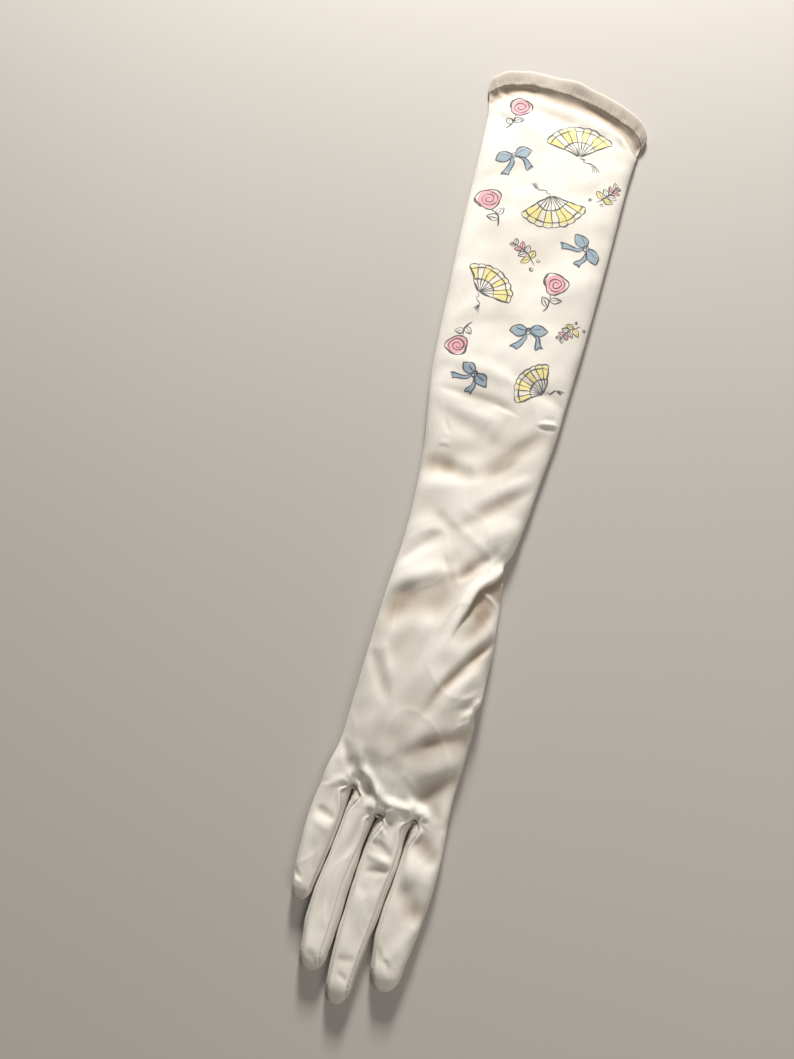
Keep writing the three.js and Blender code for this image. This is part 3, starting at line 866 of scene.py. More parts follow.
def mesh_of(name: str, points: Array, faces: Array, uv: Array) -> bpy.types.Object:
    """A smooth mesh of quads, where a quad with a repeated corner becomes a triangle.

    Args:
        name: the object's name.
        points: vertices in metres.
        faces: rows of four vertex numbers.
        uv: a place in the UV map for each vertex.

    Returns:
        The object, linked to the scene.
    """
    used, faces = np.unique(faces, return_inverse=True)
    faces = faces.reshape(-1, 4)
    points, uv = points[used], uv[used]
    same = faces == np.roll(faces, -1, axis=1)
    triangles = faces[same.any(1)]
    triangles = triangles[~same[same.any(1)]].reshape(-1, 3) if len(triangles) else np.zeros((0, 3), int)
    lists = faces[~same.any(1)].tolist() + triangles.tolist()
    mesh = bpy.data.meshes.new(name)
    mesh.from_pydata(points.tolist(), [], lists)
    mesh.polygons.foreach_set("use_smooth", np.ones(len(mesh.polygons), bool))
    layer = mesh.uv_layers.new(name="cloth")
    corners = np.zeros(len(mesh.loops), np.int32)
    mesh.loops.foreach_get("vertex_index", corners)
    layer.data.foreach_set("uv", uv[corners].astype(np.float32).ravel())
    mesh.update()
    piece = bpy.data.objects.new(name, mesh)
    bpy.context.scene.collection.objects.link(piece)
    return piece


def cloth_uv(points: Array) -> Array:
    """A UV place for a grid of cloth: the length along each row from its middle, and y.

    Args:
        points: the grid.

    Returns:
        The places.
    """
    steps = np.linalg.norm(np.diff(points, axis=1), axis=-1)
    along = np.concatenate([np.zeros((len(points), 1)), np.cumsum(steps, axis=1)], axis=1)
    along -= along[:, along.shape[1] // 2][:, None]
    return np.stack([along, points[..., 1]], -1)


def thicken(piece: bpy.types.Object, thick: float = CLOTH_THICK) -> None:
    """Gives a surface the cloth's thickness, inwards from its outer face.

    Args:
        piece: the surface.
        thick: in millimetres.
    """
    solidify = piece.modifiers.new("cloth", "SOLIDIFY")
    solidify.thickness = thick * MM
    solidify.offset = -1.0


def paint_shade(piece: bpy.types.Object, depth: Array) -> None:
    """Stores how much painted shade each vertex takes, 0 to 1, for the cloth's tone."""
    store = piece.data.attributes.new("valley", "FLOAT", "POINT")
    store.data.foreach_set("value", np.clip(depth, 0, 1).astype(np.float32).ravel())


def groove(distance: Array, deep: float = 0.36, wide: float = 1.5) -> Array:
    """How far the cloth tucks in beside a seam, by the distance from it."""
    return deep * np.clip(1 - distance / wide, 0, 1) ** 2


class Side(Enum):
    """The two large panels."""

    BACK = 1
    PALM = -1


BACK_BANDS = ((285, 261, 26), (261, 62, 84), (62, 34, 26), (34, -44, 46), (-44, -197, 140))
PALM_BANDS = ((285, 0, 110), (0, -197, 120))


def soften_arches(hand: Array, rows: int = 40, reach: int = 9, edge: int = 14) -> None:
    """Lets the fingers' arches die out softly: a running mean across, strongest above the knuckles.

    Args:
        hand: the hand's points, whose heights change in place.
        rows: how many rows above the knuckles take part.
        reach: columns on each side that the mean takes in.
        edge: columns at each side seam over which it comes in.
    """
    heights = hand[-rows:, :, 2]
    above = np.arange(rows - 1, -1, -1)[:, None] / rows
    column = np.arange(heights.shape[1])
    inside = smooth(np.minimum(column, column[::-1]) / edge)
    share = smooth(above / 0.3) * smooth((1 - above) / 0.4) * inside
    hand[-rows:, :, 2] = lerp(heights, running_mean(heights, reach, 1), share)


def ease_knuckle(
    hand: Array,
    finger: Array,
    index: int,
    rows: int = 16,
    reach: int = 9,
    edge: float = 0.2,
    full: float = 1.6,
) -> None:
    """Rounds off the bend between hand and finger: a running mean of heights, strongest at the knuckle.

    Args:
        hand: the hand's columns over this finger, changed in place.
        finger: the finger's points, changed in place.
        index: which finger; its outer side has no crotch to keep in place.
        rows: how many rows on each side take part.
        reach: rows on each side that the mean takes in.
        edge: share of the finger's width at each crotch over which it comes in.
        full: more than 1 keeps it whole for some rows round the knuckle.
    """
    heights = np.vstack([hand[-rows:, :, 2], finger[:rows, :, 2]])
    share = np.linspace(0, 1, heights.shape[1])
    from_left = smooth(share / edge) if index > 0 else 1.0
    from_right = smooth((1 - share) / edge) if index < FINGER_COUNT - 1 else 1.0
    near = smooth(1 - np.abs(np.arange(len(heights)) - rows + 0.5) / rows)[:, None]
    kept = np.minimum(1.0, full * near) * from_left * from_right
    eased = lerp(heights, running_mean(heights, reach, 0), kept)
    hand[-rows:, :, 2] = eased[:rows]
    finger[:rows, :, 2] = eased[rows:]


@dataclass
class Panel:
    """One of the two large panels: sleeve, hand and four half fingers.

    Attributes:
        side: back or palm.
        per_finger: columns of faces across a finger.
        bands: from, to and rows of faces along sleeve and hand.
        finger_rows: rows of faces down a finger.
        tip_rows: rows of faces round a fingertip.
        arch_reach: how far the fingers' arches run up into the panel.
        cuff_reach: how far down the sleeve the rows follow the cuff's edge.
        knuckle_reach: how far up the hand they follow the knuckles.
        seam_reach: how far up the hand the fingers' seams still count.
        even_end: the columns are evenly spaced down to this y.
        even_fade: and over this length they close up on the fingers' columns.
        side_groove: depth and width of the groove beside the side seams.
        tip_groove: a finger's groove fades by this much of the tip's cosine.
        settle: rounds in which height finds a place's row.
        heights: of the sleeve's and hand's points, once built.
    """

    side: Side
    per_finger: int
    bands: tuple[tuple[float, float, int], ...]
    finger_rows: int
    tip_rows: int
    arch_reach: float
    cuff_reach: float = 150
    knuckle_reach: float = 45
    seam_reach: float = 9
    even_end: float = -30
    even_fade: float = 140
    side_groove: tuple[float, float] = (0.6, 1.8)
    tip_groove: float = 1.4
    settle: int = 12
    heights: Array | None = None

    def seam(self, index: int, edge: int, y: Array, tip: Array) -> Array:
        """This panel's seam angle on a finger."""
        return (back_seam if self.side is Side.BACK else palm_seam)(index, edge, y, tip)

    def stations(self) -> Array:
        """Places along sleeve and hand, from the hem's stitch line to the knuckles."""
        runs = [np.linspace(start, end, rows, endpoint=False) for start, end, rows in self.bands]
        return np.concatenate([*runs, [self.bands[-1][1]]])

    def finger_grid(self, index: int, across: Array, y: Array, tip: Array) -> tuple[Array, Array]:
        """Points of a half finger between its two seams, and how far each is from a seam.

        Args:
            index: which finger.
            across: columns, -1 left to 1 right.
            y: rows by columns.
            tip: the tip's angles, the same shape.

        Returns:
            The points, and the distances in millimetres along the section.
        """
        left, right = self.seam(index, -1, y, tip), self.seam(index, 1, y, tip)
        edge_left, edge_right = finger_at[index](y)
        half = (edge_right - edge_left) / 2
        gap = SEAM_GAP / (SEAM_ARC * half)
        share = (across + 1) / 2
        angle = lerp(math.pi - left - gap, right + gap, share)
        turn = np.minimum(math.pi - left - angle, angle - right)
        distance = turn * ARC * half
        # the cloth tucks in only where a seam is, and never past the tip's own small radius
        deep = groove(distance) * np.clip(np.cos(tip) * self.tip_groove, 0, 1)
        return finger_point(index, y, tip, self.side.value * angle, deep), distance

    def knuckles(self) -> tuple[Array, Array]:
        """The row of points where hand and fingers meet, and its distance from the seams.

        Returns:
            The points and the distances.
        """
        n = self.per_finger
        count = FINGER_COUNT * n + 1
        points, distance = np.zeros((count, 3)), np.zeros(count)
        across = np.linspace(-1, 1, n + 1)
        parts = []
        for index in range(FINGER_COUNT):
            y = knuckle_y(index, across)[None]
            grid, away = self.finger_grid(index, across, y, 0 * y)
            parts.append(grid[0])
            points[index * n:(index + 1) * n + 1] = grid[0]
            distance[index * n:(index + 1) * n + 1] = away[0]
        for index, crotch in enumerate(CROTCHES, 1):
            shared = (parts[index - 1][-1] + parts[index][0]) / 2
            shared[1] = crotch[1] + SEAM_GAP
            points[index * n] = shared
        return points, distance

    def hand_grid(self, knuckle: Array, from_seam: Array) -> tuple[Array, Array]:
        """Points of sleeve and hand, whose rows follow the cuff's edge and then the knuckles.

        Args:
            knuckle: the row of points where the fingers start.
            from_seam: how far each of those is from a finger's seam.

        Returns:
            The points, and how far each is from a side seam.
        """
        station = self.stations()[:, None]
        cuff, last = self.bands[0][0], self.bands[-1][1]
        count = FINGER_COUNT * self.per_finger
        evenly = -np.cos(math.pi * np.arange(count + 1) / count)[None]
        first, final = knuckle[0, 0], knuckle[-1, 0]
        ending = np.clip((2 * knuckle[None, :, 0] - first - final) / (final - first), -1, 1)
        across = lerp(evenly, ending, smooth((self.even_end - station) / self.even_fade))
        to_cuff = smooth(1 - (cuff - station) / self.cuff_reach)
        to_knuckle = smooth(1 - (station - last) / self.knuckle_reach)
        y = station + to_cuff * (cuff_edge_at(across)[0] - HEM_DEPTH - cuff)
        y = y + to_knuckle * (knuckle[None, :, 1] - last)
        _, half, top = body_at(y)
        rise = SIDE_ARC * (top - SEAM_HEIGHT) if self.side is Side.BACK else under_reach(half, 0)
        gap = SEAM_GAP / rise
        angle = np.clip(np.arccos(np.clip(across, -1, 1)), gap, math.pi - gap)
        distance = np.minimum(angle, math.pi - angle) * rise
        plain = hand_point(y, self.side.value * angle, groove(distance, *self.side_groove))
        arch = smooth(1 - (station - last) / self.arch_reach)[..., None]
        target = np.broadcast_to(knuckle[None], plain.shape).copy()
        target[..., 1] = y
        near = smooth(1 - (station - last) / self.seam_reach)
        points = lerp(plain, target, arch)
        points[-1] = knuckle
        return points, lerp(distance, from_seam, near)

    def lie(self, points: Array, distance: Array) -> tuple[Array, Array]:
        """Lays the finer folds on the back panel, and leaves the palm panel to the floor.

        Args:
            points: a grid of points.
            distance: how far each is from a seam.

        Returns:
            The moved points, and how much painted shade each takes: by its depth in a fold, over the hand
            and in the crotches.
        """
        x, y = points[..., 0], points[..., 1]
        if self.side is Side.PALM:
            return points, np.zeros(x.shape)
        fade = smooth(distance / FOLD_CLEAR)
        height = relief(x, y)
        moved = points.copy()
        crotch = np.min([np.hypot(x - a, y - b) for a, b in CROTCHES], axis=0)
        # a lip of cloth stands up along the seams round each crotch
        from_edge = np.minimum(distance, crotch)
        lip = bell(from_edge - 1.5, 1.1) - 0.3 * bell(from_edge, 0.7)
        knots = gathers(x, y) + 0.8 * lip * bell(crotch, 9)
        moved[..., 2] += fade * height + knots * on_top(points[..., 2])
        clear = smooth(distance / LEAN_CLEAR)
        for roll in ROLLS:
            dx, dy = RollField.at(roll, x, y).shift()
            moved[..., 0] += clear * dx
            moved[..., 1] += clear * dy
        # no fold reaches below the side seam
        lowest = np.minimum(points[..., 2], SEAM_HEIGHT + 0.6 * smooth(distance / 2))
        moved[..., 2] = np.maximum(moved[..., 2], lowest)
        # painted shade: the cloth is a little darker in the folds, over the hand, where less light falls,
        # and in the crotches
        deep = -(height * fade + knots + 0.6 * folds_at(FOLDS, x, y)) / DEEP_FOLD
        hand_shade = 0.15 * bell(y + 150, 48)
        return moved, deep + hand_shade + 0.35 * bell(crotch, 2.5)

    def build(self, name: str) -> bpy.types.Object:
        """Makes the panel's mesh.

        Args:
            name: the piece's name.

        Returns:
            The piece.
        """
        quilt, n = Quilt(), self.per_finger
        knuckle, from_seam = self.knuckles()
        points, distance = self.hand_grid(knuckle, from_seam)
        stations = np.linspace(0, 1, self.finger_rows + 1)[1:]
        tips = np.radians(90) * np.linspace(0, 1, self.tip_rows + 1)[1:]
        across = np.linspace(-1, 1, n + 1)
        fingers = [
            self.finger_grid(index, across, *finger_places(index, across, stations, tips))
            for index in range(FINGER_COUNT)
        ]
        soften_arches(points)
        for index in range(FINGER_COUNT):
            ease_knuckle(points[:, index * n:(index + 1) * n + 1], fingers[index][0], index)
        points, valley = self.lie(points, distance)
        self.heights = points[..., 2]
        body_uv = cloth_uv(points)
        body = quilt.add(points, body_uv)
        turned = self.side is Side.PALM
        quilt.join(body, turned)
        valleys = [valley.ravel()]
        for index, (grid, away) in enumerate(fingers):
            grid, valley = self.lie(grid, away)
            uv = cloth_uv(grid) + (body_uv[-1, index * n + n // 2, 0], 0)
            numbers = quilt.add(grid, uv)
            numbers[-1] = numbers[-1, n // 2]
            quilt.join(np.vstack([body[-1:, index * n:(index + 1) * n + 1], numbers]), turned)
            valleys.append(valley.ravel())
        keep = cut_oval(quilt) if self.side is Side.PALM else slice(None)
        piece = quilt.build(name, keep)
        used = np.unique(np.vstack(quilt.faces)[keep])
        paint_shade(piece, np.concatenate(valleys)[used])
        thicken(piece)
        return piece

    def height(self, x: Array, y: Array) -> Array:
        """Height of the sleeve's built surface over some places, between the nearest four points.

        Args:
            x: places across.
            y: places along, on the sleeve.

        Returns:
            The heights.
        """
        middle, half, _ = body_at(y)
        across = np.clip((x - middle) / half, -0.999, 0.999)
        cuff = self.bands[0][0]
        shift = cuff_edge_at(across)[0] - HEM_DEPTH - cuff
        station = y
        for _ in range(self.settle):
            station = y - smooth(1 - (cuff - station) / self.cuff_reach) * shift
        rows = self.stations()
        at = np.interp(-station, -rows, np.arange(len(rows)))
        at = np.clip(at, 0, len(rows) - 1.001)
        column = np.arccos(-across) / math.pi * FINGER_COUNT * self.per_finger
        i, j = at.astype(int), column.astype(int)
        u, v = at - i, column - j
        z = self.heights
        return lerp(lerp(z[i, j], z[i + 1, j], u), lerp(z[i, j + 1], z[i + 1, j + 1], u), v)


def cut_oval(quilt: Quilt, lowest: float = -math.inf) -> Array:
    """Opens the thumb's mouth in a quilt: faces inside the oval go, and the rim is drawn onto it.

    Args:
        quilt: the grids, whose points move.
        lowest: faces whose middle is lower than this stay.

    Returns:
        Which faces stay.
    """
    x0, y0, a, b = MOUTH
    points, faces = np.vstack(quilt.points), np.vstack(quilt.faces)
    reach = np.hypot((points[:, 0] - x0) / a, (points[:, 1] - y0) / b)
    middle = points[faces].mean(1)
    gone = (np.hypot((middle[:, 0] - x0) / a, (middle[:, 1] - y0) / b) < 1) & (middle[:, 2] > lowest)
    rim = np.intersect1d(faces[gone], faces[~gone])
    points[rim, 0] = x0 + (points[rim, 0] - x0) / reach[rim]
    points[rim, 1] = y0 + (points[rim, 1] - y0) / reach[rim]
    quilt.points = [points]
    quilt.uvs = [np.vstack(quilt.uvs)]
    return ~gone


@dataclass
class SideStrip:
    """The folded strip between two fingers, round the crotch.

    Attributes:
        index: the finger on its left.
        across: faces across the strip.
        rows: faces down each finger.
        tip_rows: faces round each tip.
        tip_end: how far round the tip it goes, in degrees.
        crotch_rows: faces round the crotch.
        crotch_back: how far its edges lie behind the crotch.
        crotch_belly: how much further its middle does.
        crotch_drop: how far its upper edge dips there.
        belly: how far it bulges between its seams.
        pucker: height of the small gathers beside the crotch.
        pucker_wave: distance from one gather to the next.
        gathered: how far down the finger they go.
        wave: how far it wanders sideways.
        width: of its cloth in the UV map.
        tone: how far its cloth takes the painted shade between the fingers.
        crotch_tone: how much more so at the crotch.
        tone_reach: how far from there.
    """

    index: int
    across: int = 18
    rows: int = 60
    tip_rows: int = 8
    tip_end: float = 70
    crotch_rows: int = 8
    crotch_back: float = 0.6
    crotch_belly: float = 1.8
    crotch_drop: float = 1.5
    belly: float = 0.38
    pucker: float = 0.28
    pucker_wave: float = 2.9
    gathered: float = 11.0
    wave: float = 0.12
    width: float = 8.0
    tone: float = 0.25
    crotch_tone: float = 0.6
    tone_reach: float = 6

    def wing(self, finger: int, side: int) -> Array:
        """Rows down one side of a finger, from the crotch to where its seams meet at the tip.

        Args:
            finger: which finger.
            side: -1 left, 1 right.

        Returns:
            The points, rows by columns.
        """
        stations = np.linspace(0, 1, self.rows + 1)[1:]
        tips = np.radians(self.tip_end) * np.linspace(0, 1, self.tip_rows + 1)[1:]
        y, tip = finger_places(finger, np.array([float(side)]), stations, tips)
        share = np.linspace(0, 1, self.across + 1)[None]
        top, bottom = back_seam(finger, side, y, tip), palm_seam(finger, side, y, tip)
        left, right = finger_at[finger](y)
        half = (right - left) / 2
        angle = lerp(top - SEAM_GAP / half, -(bottom - SEAM_GAP / half), share)
        turn = np.minimum(top - angle, angle + bottom)
        round_it = angle if side > 0 else math.pi - angle
        below = KNUCKLES[finger + (side > 0), 1] - y
        near = bell(below, self.gathered)
        gather = 2 * math.pi * y / self.pucker_wave + 3 * finger + 2.5 * share
        pucker = self.pucker * near * np.sin(gather)
        belly = (0.5 * near * (1 - share) - self.belly) * np.sin(math.pi * share) * np.cos(tip)
        deep = groove(turn * ARC * half) + belly + pucker * np.sin(math.pi * share)
        points = finger_point(finger, y + 0 * share, tip + 0 * share, round_it, deep)
        x, along = points[..., 0], points[..., 1]
        wave = ripple(along, 0.3 * along + 7 * finger, 9, 20, 11 + finger)
        points[..., 0] = x + self.wave * wave * np.sin(math.pi * share)
        return points

    def build(self) -> bpy.types.Object:
        """Makes the strip: down the right side of one finger, round, and down the left of the next.

        Returns:
            The piece.
        """
        first, second = self.wing(self.index, 1), self.wing(self.index + 1, -1)
        crotch = KNUCKLES[self.index + 1]
        share = np.linspace(0, 1, self.across + 1)
        inner_y = crotch[1] - self.crotch_back - self.crotch_belly * np.sin(math.pi * share) ** 0.7
        turns = []
        for t in np.linspace(0, 1, self.crotch_rows + 1)[1:-1]:
            row = lerp(first[0], second[0], t)
            bow = math.sin(math.pi * t)
            row[:, 1] = lerp(row[:, 1], inner_y, bow)
            row[:, 2] -= self.crotch_drop * bow * (1 - share) ** 2
            turns.append(row)
        points = np.concatenate([first[::-1], np.array(turns), second])
        lift = gathers(points[..., 0], points[..., 1]) * (1 - share) ** 1.5
        points[..., 2] += lift * on_top(points[..., 2])
        quilt = Quilt()
        steps = np.linalg.norm(np.diff(points, axis=0), axis=-1)
        run = np.vstack([np.zeros((1, points.shape[1])), np.cumsum(steps, axis=0)])
        uv = np.stack([self.width * share + 0 * run, run], -1)
        quilt.join(quilt.add(points, uv), turned=True)
        name = ["little_ring", "ring_middle", "middle_index"][self.index]
        piece = quilt.build(f"strip_{name}")
        near = np.hypot(points[..., 0] - crotch[0], points[..., 1] - crotch[1])
        # painted shade: the strip is darker all along between the fingers, and most at the crotch
        paint_shade(piece, self.tone + self.crotch_tone * bell(near, self.tone_reach))
        thicken(piece, STRIP_THICK)
        return piece


@dataclass
class Thumb:
    """The flat thumb folded under the palm, open at the thumb hole.

    Attributes:
        sides: faces round it.
        rows: faces along it.
        end_rows: faces round each end.
        mouth_floor: the mouth is cut out of what lies higher than this.
        tone: how far its cloth takes the painted shade, lying under the palm.
    """

    sides: int = 96
    rows: int = 70
    end_rows: int = 12
    mouth_floor: float = 3.0
    tone: float = 0.15

    def build(self) -> bpy.types.Object:
        """Makes rings along the thumb, closes its ends and opens its mouth.

        Returns:
            The piece.
        """
        first, last = THUMB_ROWS[0][0], THUMB_ROWS[-1][0]
        round_it = np.radians(np.linspace(90, 0, self.end_rows, endpoint=False))
        tip = np.concatenate([-round_it, np.zeros(self.rows), round_it[::-1]])[:, None]
        y = np.concatenate([np.full(self.end_rows, first), np.linspace(first, last, self.rows),
                            np.full(self.end_rows, last)])[:, None]
        angle = -2 * math.pi * np.arange(self.sides)[None] / self.sides
        left, right = thumb_at(y)
        half = (right - left) / 2
        shrink = np.cos(tip)
        height = section_height(half, THUMB_TOP, np.arctan2(np.sin(angle), np.cos(angle)), 0.0)
        x = (left + right) / 2 + half * shrink * np.cos(angle)
        along = y - THUMB_END * np.sin(tip) + 0 * x
        points = np.stack([x, along, SEAM_HEIGHT + (height - SEAM_HEIGHT) * shrink], -1)
        quilt = Quilt()
        numbers = quilt.add(points, np.stack([-angle * half + 0 * x, along], -1))
        numbers[0], numbers[-1] = numbers[0, 0], numbers[-1, 0]
        quilt.join(np.hstack([numbers, numbers[:, :1]]))
        piece = quilt.build("thumb_cloth", cut_oval(quilt, self.mouth_floor))
        # painted shade: the thumb lies under the palm
        paint_shade(piece, np.full(len(piece.data.vertices), self.tone))
        thicken(piece, STRIP_THICK)
        return piece


@dataclass
class Hem:
    """The doubled band round the cuff's mouth, with its rolled edge.

    Attributes:
        sides: faces round the cuff.
        proud: how far it stands out over the sleeve.
        thick: from its outside to its inside.
        band: height of its flat part over the stitch line.
        roll: how much higher the rolled edge reaches.
        lip: how far it laps down over the stitch line.
        swell: how far its middle bulges.
        radius: of the cuff's mouth, as a round one.
        draw: depth and wave length of the small draws along the stitch line.
        wave: how far the edge waves along the glove.
        lift: how far it waves up and down.
    """

    sides: int = 420
    proud: float = 0.35
    thick: float = 2.0
    band: float = 10.2
    roll: float = 0.8
    lip: float = 0.7
    swell: float = 0.3
    radius: float = 60.0
    draw: tuple[float, float] = (0.16, 3.4)
    wave: float = 0.3
    lift: float = 0.5

    def profile(self) -> Array:
        """The band's section: a lip over the sleeve, the outside, the rolled edge, and down the inside.

        Returns:
            Rows of height above the stitch line and depth under the cloth's outer face.
        """
        lip = [(0.3, -0.1), (-self.lip, -0.1), (-self.lip - 0.2, -0.25)]
        bulge = self.lip + self.band + 0.5
        outer = [(u, -self.proud - self.swell * math.sin(math.pi * (u + self.lip) / bulge) ** 0.8)
                 for u in np.linspace(-self.lip, self.band, 16)]
        middle, radius = self.thick / 2 - self.proud, self.thick / 2
        over = [(self.band + self.roll * math.sin(a), middle - radius * math.cos(a))
                for a in np.radians(np.linspace(15, 165, 9))]
        inner = [(u, self.thick - self.proud) for u in np.linspace(self.band, 0.3, 8)]
        return np.array(lip + outer + over + inner)

    def build(self) -> bpy.types.Object:
        """Carries the profile round the cuff, with small draws along the stitch line.

        Returns:
            The piece.
        """
        turn = 2 * math.pi * np.arange(self.sides) / self.sides
        angle = np.arctan2(np.sin(-turn), np.cos(-turn))[None]
        up, depth = (column[:, None] for column in self.profile().T)
        across = np.cos(angle)
        y = cuff_edge_at(across)[0] - HEM_DEPTH + up
        run = self.radius * turn[None]
        high, long = self.draw
        draw = high * np.sin(2 * math.pi * run / long) + 0.14 * ripple(run, 0 * run, 6, 15, 21)
        depth = depth + np.where(depth < -0.3, draw * np.exp(-np.abs(up - 2) / 3), 0)
        wave = self.wave * ripple(run, 0 * run + 9, 14, 40, 23) * smooth(up / HEM_DEPTH)
        points = hand_point(y, angle, depth)
        upper = np.sin(angle) > 0
        points[..., 1] += wave
        from_side = np.minimum(np.abs(angle), math.pi - np.abs(angle))
        from_side = from_side * SIDE_ARC * (body_at(y)[2] - SEAM_HEIGHT)
        extra = relief(points[..., 0], points[..., 1]) * smooth(from_side / FOLD_CLEAR)
        lift = self.lift * ripple(run, 0 * run + 4, 22, 60, 25) * smooth(up / HEM_DEPTH)
        points[..., 2] += np.where(upper, extra + lift * np.sqrt(np.abs(np.sin(angle))), 0)
        points[..., 2] = np.maximum(points[..., 2], np.maximum(0.0, depth))
        quilt = Quilt()
        numbers = quilt.add(points, np.stack([run + 0 * up, y + 0 * run], -1))
        ring = np.vstack([numbers, numbers[:1]])
        quilt.join(np.hstack([ring, ring[:, :1]]), turned=True)
        piece = quilt.build("hem_band")
        # painted shade: darker up to the rolled edge, where the band slopes away from the light, and most
        # at the stitch line
        dark = smooth((10.0 - up) / 1.5) * (0.5 + 0.35 * np.exp(-up / 3)) + 0 * run
        paint_shade(piece, dark * (depth < 0) + 0.1)
        return piece


@dataclass
class Stitches:
    """Short stitches of thread: one small closed shell for each, its ends bent into the cloth.

    Attributes:
        name: the piece's name.
        length: of one stitch.
        thick: of the thread.
        rings: rows of points along one stitch.
        sides: faces round it.
    """

    name: str
    length: float
    thick: float
    rings: int = 7
    sides: int = 6

    def build(self, middles: Array, along: Array, up: Array) -> bpy.types.Object:
        """Makes every stitch from one small shell.

        Args:
            middles: where the stitches' middles lie, one row each.
            along: unit vectors along the stitches.
            up: unit vectors away from the cloth.

        Returns:
            The piece.
        """
        t = np.linspace(-1, 1, self.rings)
        turn = 2 * math.pi * np.arange(self.sides) / self.sides
        girth = np.clip(1 - t**2, 0, 1) ** 0.4 * self.thick / 2
        out = girth[:, None] * np.cos(turn)
        rise = girth[:, None] * np.sin(turn) - 0.5 * self.thick * (t**2)[:, None]
        run = (t * self.length / 2)[:, None] + 0 * turn
        aside = np.cross(up, along)
        points = middles[:, None, None] + (
            run[None, ..., None] * along[:, None, None]
            + out[None, ..., None] * aside[:, None, None]
            + rise[None, ..., None] * up[:, None, None]
        )
        numbers = np.arange(points.size // 3).reshape(points.shape[:-1])
        numbers[:, 0] = numbers[:, 0, :1]
        numbers[:, -1] = numbers[:, -1, :1]
        numbers = np.concatenate([numbers, numbers[:, :, :1]], axis=2)
        a, b = numbers[:, :-1, :-1], numbers[:, 1:, :-1]
        c, d = numbers[:, 1:, 1:], numbers[:, :-1, 1:]
        faces = np.stack([p.ravel() for p in (a, b, c, d)], -1)
        uv = np.stack(np.broadcast_arrays(run[None] + 0 * points[..., 0], out[None]), -1)
        return mesh_of(self.name, points.reshape(-1, 3) * MM, faces, uv.reshape(-1, 2) * MM)


def unit(vectors: Array) -> Array:
    """Vectors brought to length one."""
    return vectors / np.maximum(np.linalg.norm(vectors, axis=-1, keepdims=True), 1e-9)


def seam_stitches() -> bpy.types.Object:
    """Fine stitches down the back's finger seams, where they are sewn to the strips.

    Returns:
        The piece.
    """
    stations, tips, sunk = np.linspace(0.03, 1, 60), np.radians([12, 26, 40]), 0.2
    middles, along, up = [], [], []
    for index, edge in ((0, 1), (1, -1), (1, 1), (2, -1), (2, 1), (3, -1)):
        y, tip = finger_places(index, np.array([float(edge)]), stations, tips)
        angle = back_seam(index, edge, y, tip)
        left, right = finger_at[index](y)
        round_it = angle if edge > 0 else math.pi - angle
        line = finger_point(index, y, tip, round_it, sunk)[:, 0]
        line[:, 2] += gathers(line[:, 0], line[:, 1])
        centre = np.stack([(left + right)[:, 0] / 2, y[:, 0], 0 * y[:, 0] + SEAM_HEIGHT], -1)
        middles.append(line)
        along.append(unit(np.gradient(line, axis=0)))
        up.append(unit(line - centre))
    middles, along, up = np.vstack(middles), np.vstack(along), np.vstack(up)
    up = unit(up - (up * along).sum(1, keepdims=True) * along)
    return Stitches("seam_stitches", length=1.15, thick=0.42).build(middles, along, up)


def sleeve_stitches(back: Panel) -> bpy.types.Object:
    """The running stitches beside the sleeve's left edge, and those that hold the hem.

    Args:
        back: the panel that they lie on.

    Returns:
        The piece.
    """
    t = np.linspace(0, 1, 43)
    y = lerp(251.4, 40.6, t)
    x = np.interp(t, [0, 0.4, 0.7, 1], [-47.4, -44.6, -40.2, -33.0]) + 0.25 * ripple(y, 0 * y, 20, 60, 31)
    side = np.stack([x, y, back.height(x, y)], -1)
    across = np.linspace(-0.93, 0.93, 47)
    y = cuff_edge_at(across)[0] - HEM_DEPTH - 1.5
    middle, half, _ = body_at(y)
    x = middle + half * across
    hem = np.stack([x, y, back.height(x, y)], -1)
    along = np.vstack([unit(np.gradient(row, axis=0)) for row in (side, hem)])
    up = unit(np.array([0, 0, 1.0]) - along[:, 2:] * along)
    stitches = Stitches("sleeve_stitches", length=1.9, thick=0.4)
    return stitches.build(np.vstack([side, hem]), along, up)


class Motif(Enum):
    """The things drawn on the sleeve."""

    FAN = "fan"
    BUD = "bud"
    BOW = "bow"
    SPRIG = "sprig"


class Ink(Enum):
    """What the pattern is printed with."""

    LINE = "line"
    YELLOW = "yellow"
    PINK = "pink"
    BLUE = "blue"


@dataclass(frozen=True)
class Placed:
    """One motif on the sleeve.

    Attributes:
        motif: what is drawn.
        x: its middle across.
        y: its middle along.
        turn: in degrees.
        size: millimetres for each unit of its own places.
    """

    motif: Motif
    x: float
    y: float
    turn: float
    size: float


PATTERN = (
    Placed(Motif.BUD, -33, 262, -20, 11.5),
    Placed(Motif.FAN, 14, 247, 12, 15.5),
    Placed(Motif.BOW, -27, 226, 30, 11.5),
    Placed(Motif.SPRIG, 39, 214, -25, 11.5),
    Placed(Motif.FAN, 8, 190, 200, 15),
    Placed(Motif.BUD, -33, 183, 25, 12.5),
    Placed(Motif.BOW, 35, 167, -45, 11),
    Placed(Motif.SPRIG, -5, 152, 60, 11.5),
    Placed(Motif.FAN, -20, 125, -35, 13),
    Placed(Motif.BUD, 20, 130, -15, 12),
    Placed(Motif.BOW, 12, 98, 12, 10.5),
    Placed(Motif.SPRIG, 38, 103, 150, 9.5),
    Placed(Motif.BUD, -28, 82, 160, 10.5),
    Placed(Motif.FAN, 23, 63, 65, 11.5),
    Placed(Motif.BOW, -14, 60, -35, 9.5),
)


def arc(first: float, last: float, count: int) -> Array:
    """Places on a circle of radius 1, from one angle to another in degrees."""
    angle = np.radians(np.linspace(first, last, count))
    return np.stack([np.cos(angle), np.sin(angle)], -1)


